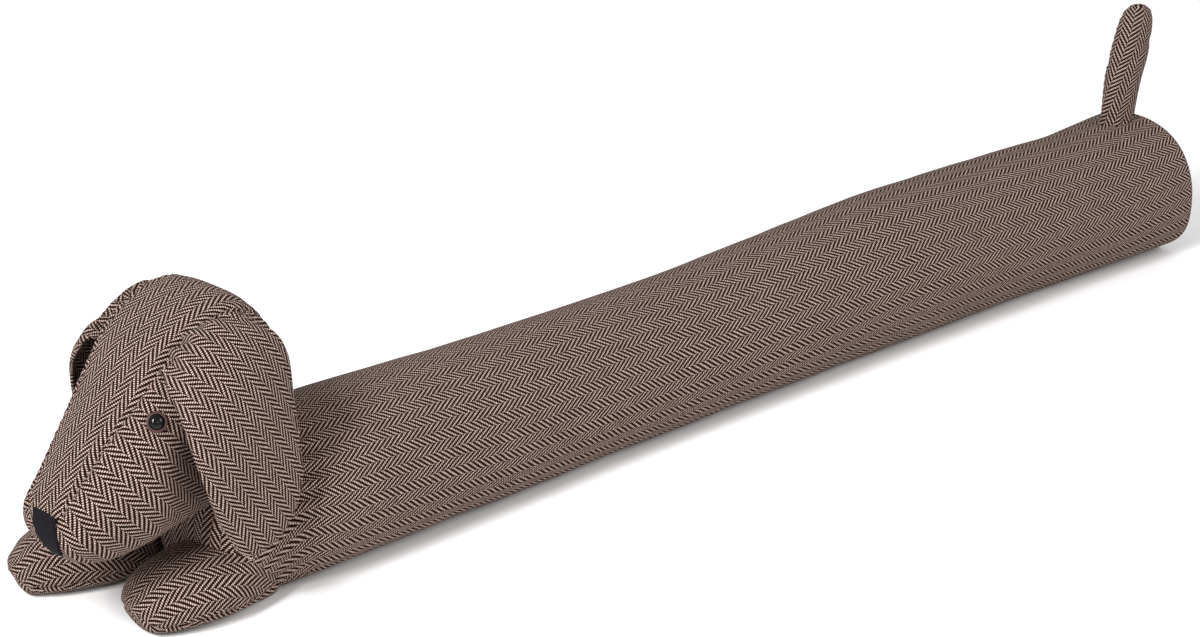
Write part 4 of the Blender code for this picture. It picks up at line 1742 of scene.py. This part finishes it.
@dataclass
class SafetyEye:
    """A safety eye: a brown plastic washer and a black domed pupil in its recess."""

    side: Side
    x: float
    z: float
    rim_radius: float = 0.0060
    rim_height: float = 0.0022
    rim_edge: float = 0.0009
    recess_radius: float = 0.0044
    recess_depth: float = 0.0010
    pupil_radius: float = 0.0042
    pupil_height: float = 0.0034
    lip_width: float = 0.0005
    lip_height: float = 0.0002
    seat_depth: float = 0.0003
    facets: int = 64

    def seat(self, head: BVHTree) -> Matrix:
        """Find the place on the head and the direction that the eye faces.

        Args:
            head: the head's surface.

        Returns:
            The matrix that moves the eye there.
        """
        start = Vector((self.x, self.side.value, self.z))
        spot, normal, _, _ = head.ray_cast(start, Vector((0, -self.side.value, 0)))
        around = [head.find_nearest(spot + self.rim_radius * Vector((cos(turn), 0, sin(turn))))[1]
                  for turn in np.linspace(0, 2 * pi, 12, endpoint=False)]
        axis = sum(around, normal.copy()).normalized()
        place = Matrix.Translation(spot - self.seat_depth * axis)
        return place @ axis.to_track_quat("Z", "Y").to_matrix().to_4x4()

    def finish(self, item: bpy.types.Object, place: Matrix, bevel: float) -> None:
        """Round a turned piece, and put its place into its mesh.

        Args:
            item: the piece.
            place: the matrix that moves it to its place.
            bevel: the width of its rounded edges, or 0.
        """
        only_active(item)
        if bevel:
            edges = item.modifiers.new("edges", "BEVEL")
            edges.width, edges.segments, edges.limit_method = bevel, 4, "ANGLE"
            bpy.ops.object.modifier_apply(modifier=edges.name)
        bpy.ops.object.shade_smooth_by_angle(angle=radians(50))
        item.data.transform(place)

    def rim(self, place: Matrix) -> bpy.types.Object:
        """Model the washer from a disc, by an inset and a recess.

        Args:
            place: the matrix that moves it to its place.

        Returns:
            The washer.
        """
        bpy.ops.object.select_all(action="DESELECT")
        bpy.ops.mesh.primitive_cylinder_add(vertices=self.facets, radius=self.rim_radius,
                                            depth=self.rim_height,
                                            location=(0, 0, self.rim_height / 2))
        item = bpy.context.object
        bpy.ops.object.transform_apply(location=True)
        item.name = f"eye_rim_{self.side.word}_washer"
        select_faces(item, lambda face: face.normal.z > 0.9)
        bpy.ops.mesh.inset(thickness=self.rim_radius - self.recess_radius - self.lip_width)
        bpy.ops.transform.translate(value=(0, 0, self.lip_height))
        bpy.ops.mesh.inset(thickness=self.lip_width)
        bpy.ops.transform.translate(value=(0, 0, -self.lip_height))
        down = (0, 0, -self.recess_depth)
        bpy.ops.mesh.extrude_region_move(TRANSFORM_OT_translate={"value": down})
        bpy.ops.object.mode_set(mode="OBJECT")
        self.finish(item, place, self.rim_edge)
        return item

    def pupil(self, place: Matrix) -> bpy.types.Object:
        """Model the pupil from a ball, cut off below and flattened.

        Args:
            place: the matrix that moves it to its place.

        Returns:
            The pupil.
        """
        bpy.ops.object.select_all(action="DESELECT")
        bpy.ops.mesh.primitive_uv_sphere_add(segments=self.facets, ring_count=32,
                                             radius=self.pupil_radius, location=(0, 0, 0))
        item = bpy.context.object
        item.name = f"eye_pupil_{self.side.word}_dome"
        bpy.ops.object.mode_set(mode="EDIT")
        bpy.ops.mesh.select_all(action="SELECT")
        bpy.ops.mesh.bisect(plane_co=(0, 0, -0.0002), plane_no=(0, 0, 1), use_fill=True,
                            clear_inner=True)
        bpy.ops.mesh.select_all(action="SELECT")
        flat = (self.pupil_height - self.rim_height + self.recess_depth) / self.pupil_radius
        bpy.ops.transform.resize(value=(1, 1, flat))
        bpy.ops.transform.translate(value=(0, 0, self.rim_height - self.recess_depth + 0.0003))
        bpy.ops.object.mode_set(mode="OBJECT")
        self.finish(item, place, 0.0)
        return item

    def build(self, rim: bpy.types.Material, pupil: bpy.types.Material, head: BVHTree) -> None:
        """Build and dress the eye.

        Args:
            rim: the washer's plastic.
            pupil: the pupil's plastic.
            head: the head's surface.
        """
        place = self.seat(head)
        dress(self.rim(place), rim, SlotName.RIM, f"eye_rim_{self.side.word}")
        dress(self.pupil(place), pupil, SlotName.PUPIL, f"eye_pupil_{self.side.word}")


class Lamp(NamedTuple):
    """A soft square lamp: its name, its place, its size in metres and its power in watts."""

    name: str
    place: tuple
    size: float
    power: float


@dataclass
class Studio:
    """The floor, the soft light and the camera."""

    azimuth: float = -42.0
    elevation: float = 22.54
    roll: float = -0.21
    distance: float = 1.938
    target: tuple = (-0.0479, 0.0124, 0.0775)
    lens: float = 90.0
    floor_size: float = 16.0
    floor_drop: float = 0.0004
    world_strength: float = 0.66
    lamps: tuple = (
        Lamp("key_lamp", (-2.3, -0.65, 2.1), 0.70, 79.0),
        Lamp("fill_lamp", (0.9, -2.4, 1.9), 1.3, 34.0),
        Lamp("left_glint", (-2.2, -0.75, 1.25), 0.19, 16.0),
        Lamp("right_glint", (-0.9, -2.0, 1.2), 0.11, 3.2),
    )

    def back(self) -> Vector:
        """Give the direction from the object to the camera."""
        turn, rise = radians(self.azimuth), radians(self.elevation)
        return Vector((sin(turn) * cos(rise), -cos(turn) * cos(rise), sin(rise)))

    def floor(self) -> None:
        """Lay the floor."""
        bpy.ops.object.select_all(action="DESELECT")
        bpy.ops.mesh.primitive_plane_add(size=self.floor_size, location=(0, 0, -self.floor_drop))
        plane = bpy.context.object
        plane.name = "studio_floor"
        plane.data.materials.append(FloorPaint().material())

    def hang(self, lamp: Lamp) -> None:
        """Hang one lamp that points at the object.

        Args:
            lamp: the lamp.
        """
        data = bpy.data.lights.new(lamp.name, "AREA")
        data.size, data.energy = lamp.size, lamp.power
        item = bpy.data.objects.new(lamp.name, data)
        item.location = lamp.place
        aim = Vector(self.target) - Vector(lamp.place)
        item.rotation_euler = aim.to_track_quat("-Z", "Y").to_euler()
        bpy.context.scene.collection.objects.link(item)

    def world(self) -> None:
        """Surround the object with plain white light."""
        world = bpy.data.worlds.new("studio")
        world.use_nodes = True
        shade = world.node_tree.nodes["Background"]
        shade.inputs[0].default_value = (1.0, 1.0, 1.0, 1.0)
        shade.inputs[1].default_value = self.world_strength
        bpy.context.scene.world = world

    def camera(self) -> None:
        """Stand the camera at the photograph's angle."""
        data = bpy.data.cameras.new("camera")
        data.lens, data.sensor_width = self.lens, 36.0
        item = bpy.data.objects.new("camera", data)
        back = self.back()
        item.location = Vector(self.target) + self.distance * back
        item.rotation_mode = "QUATERNION"
        tilt = Matrix.Rotation(radians(self.roll), 4, "Z").to_quaternion()
        item.rotation_quaternion = (-back).to_track_quat("-Z", "Y") @ tilt
        bpy.context.scene.collection.objects.link(item)
        bpy.context.scene.camera = item

    def build(self) -> None:
        """Set up the whole studio."""
        self.floor()
        self.world()
        for lamp in self.lamps:
            self.hang(lamp)
        self.camera()
        bpy.context.scene.view_settings.view_transform = "Standard"


def main() -> None:
    logging.basicConfig(level=logging.INFO, format="%(name)s: %(message)s")
    cloth = Tweed().material()
    BodyTube().build(cloth)
    head = surface_of(Head().build(cloth))
    Paw(Side.LEFT, toe=(-0.4335, -0.0135), root=(-0.3405, -0.0245)).build(cloth)
    Paw(Side.RIGHT, toe=(-0.457, 0.0755), root=(-0.368, 0.045), width=0.87).build(cloth)
    Tail().build(cloth)
    Ear(Side.LEFT, LEFT_EAR, curl=0.0030).build(cloth, head)
    Ear(Side.RIGHT, RIGHT_EAR, curl=0.0075).build(cloth, head)
    NosePatch().build(Felt().material(), head)
    rim = EyePlastic("eye_rim_plastic", colour=(0.058, 0.023, 0.018, 1.0),
                     edge=(0.030, 0.012, 0.010, 1.0), roughness=0.38, shine=0.35).material()
    pupil = EyePlastic("eye_pupil_plastic", colour=(0.002, 0.002, 0.002, 1.0),
                       edge=(0.003, 0.002, 0.002, 1.0), roughness=0.02, shine=0.24).material()
    SafetyEye(Side.LEFT, x=-0.4205, z=0.1350).build(rim, pupil, head)
    SafetyEye(Side.RIGHT, x=-0.416, z=0.1275).build(rim, pupil, head)
    Studio().build()


if __name__ == "__main__":
    main()
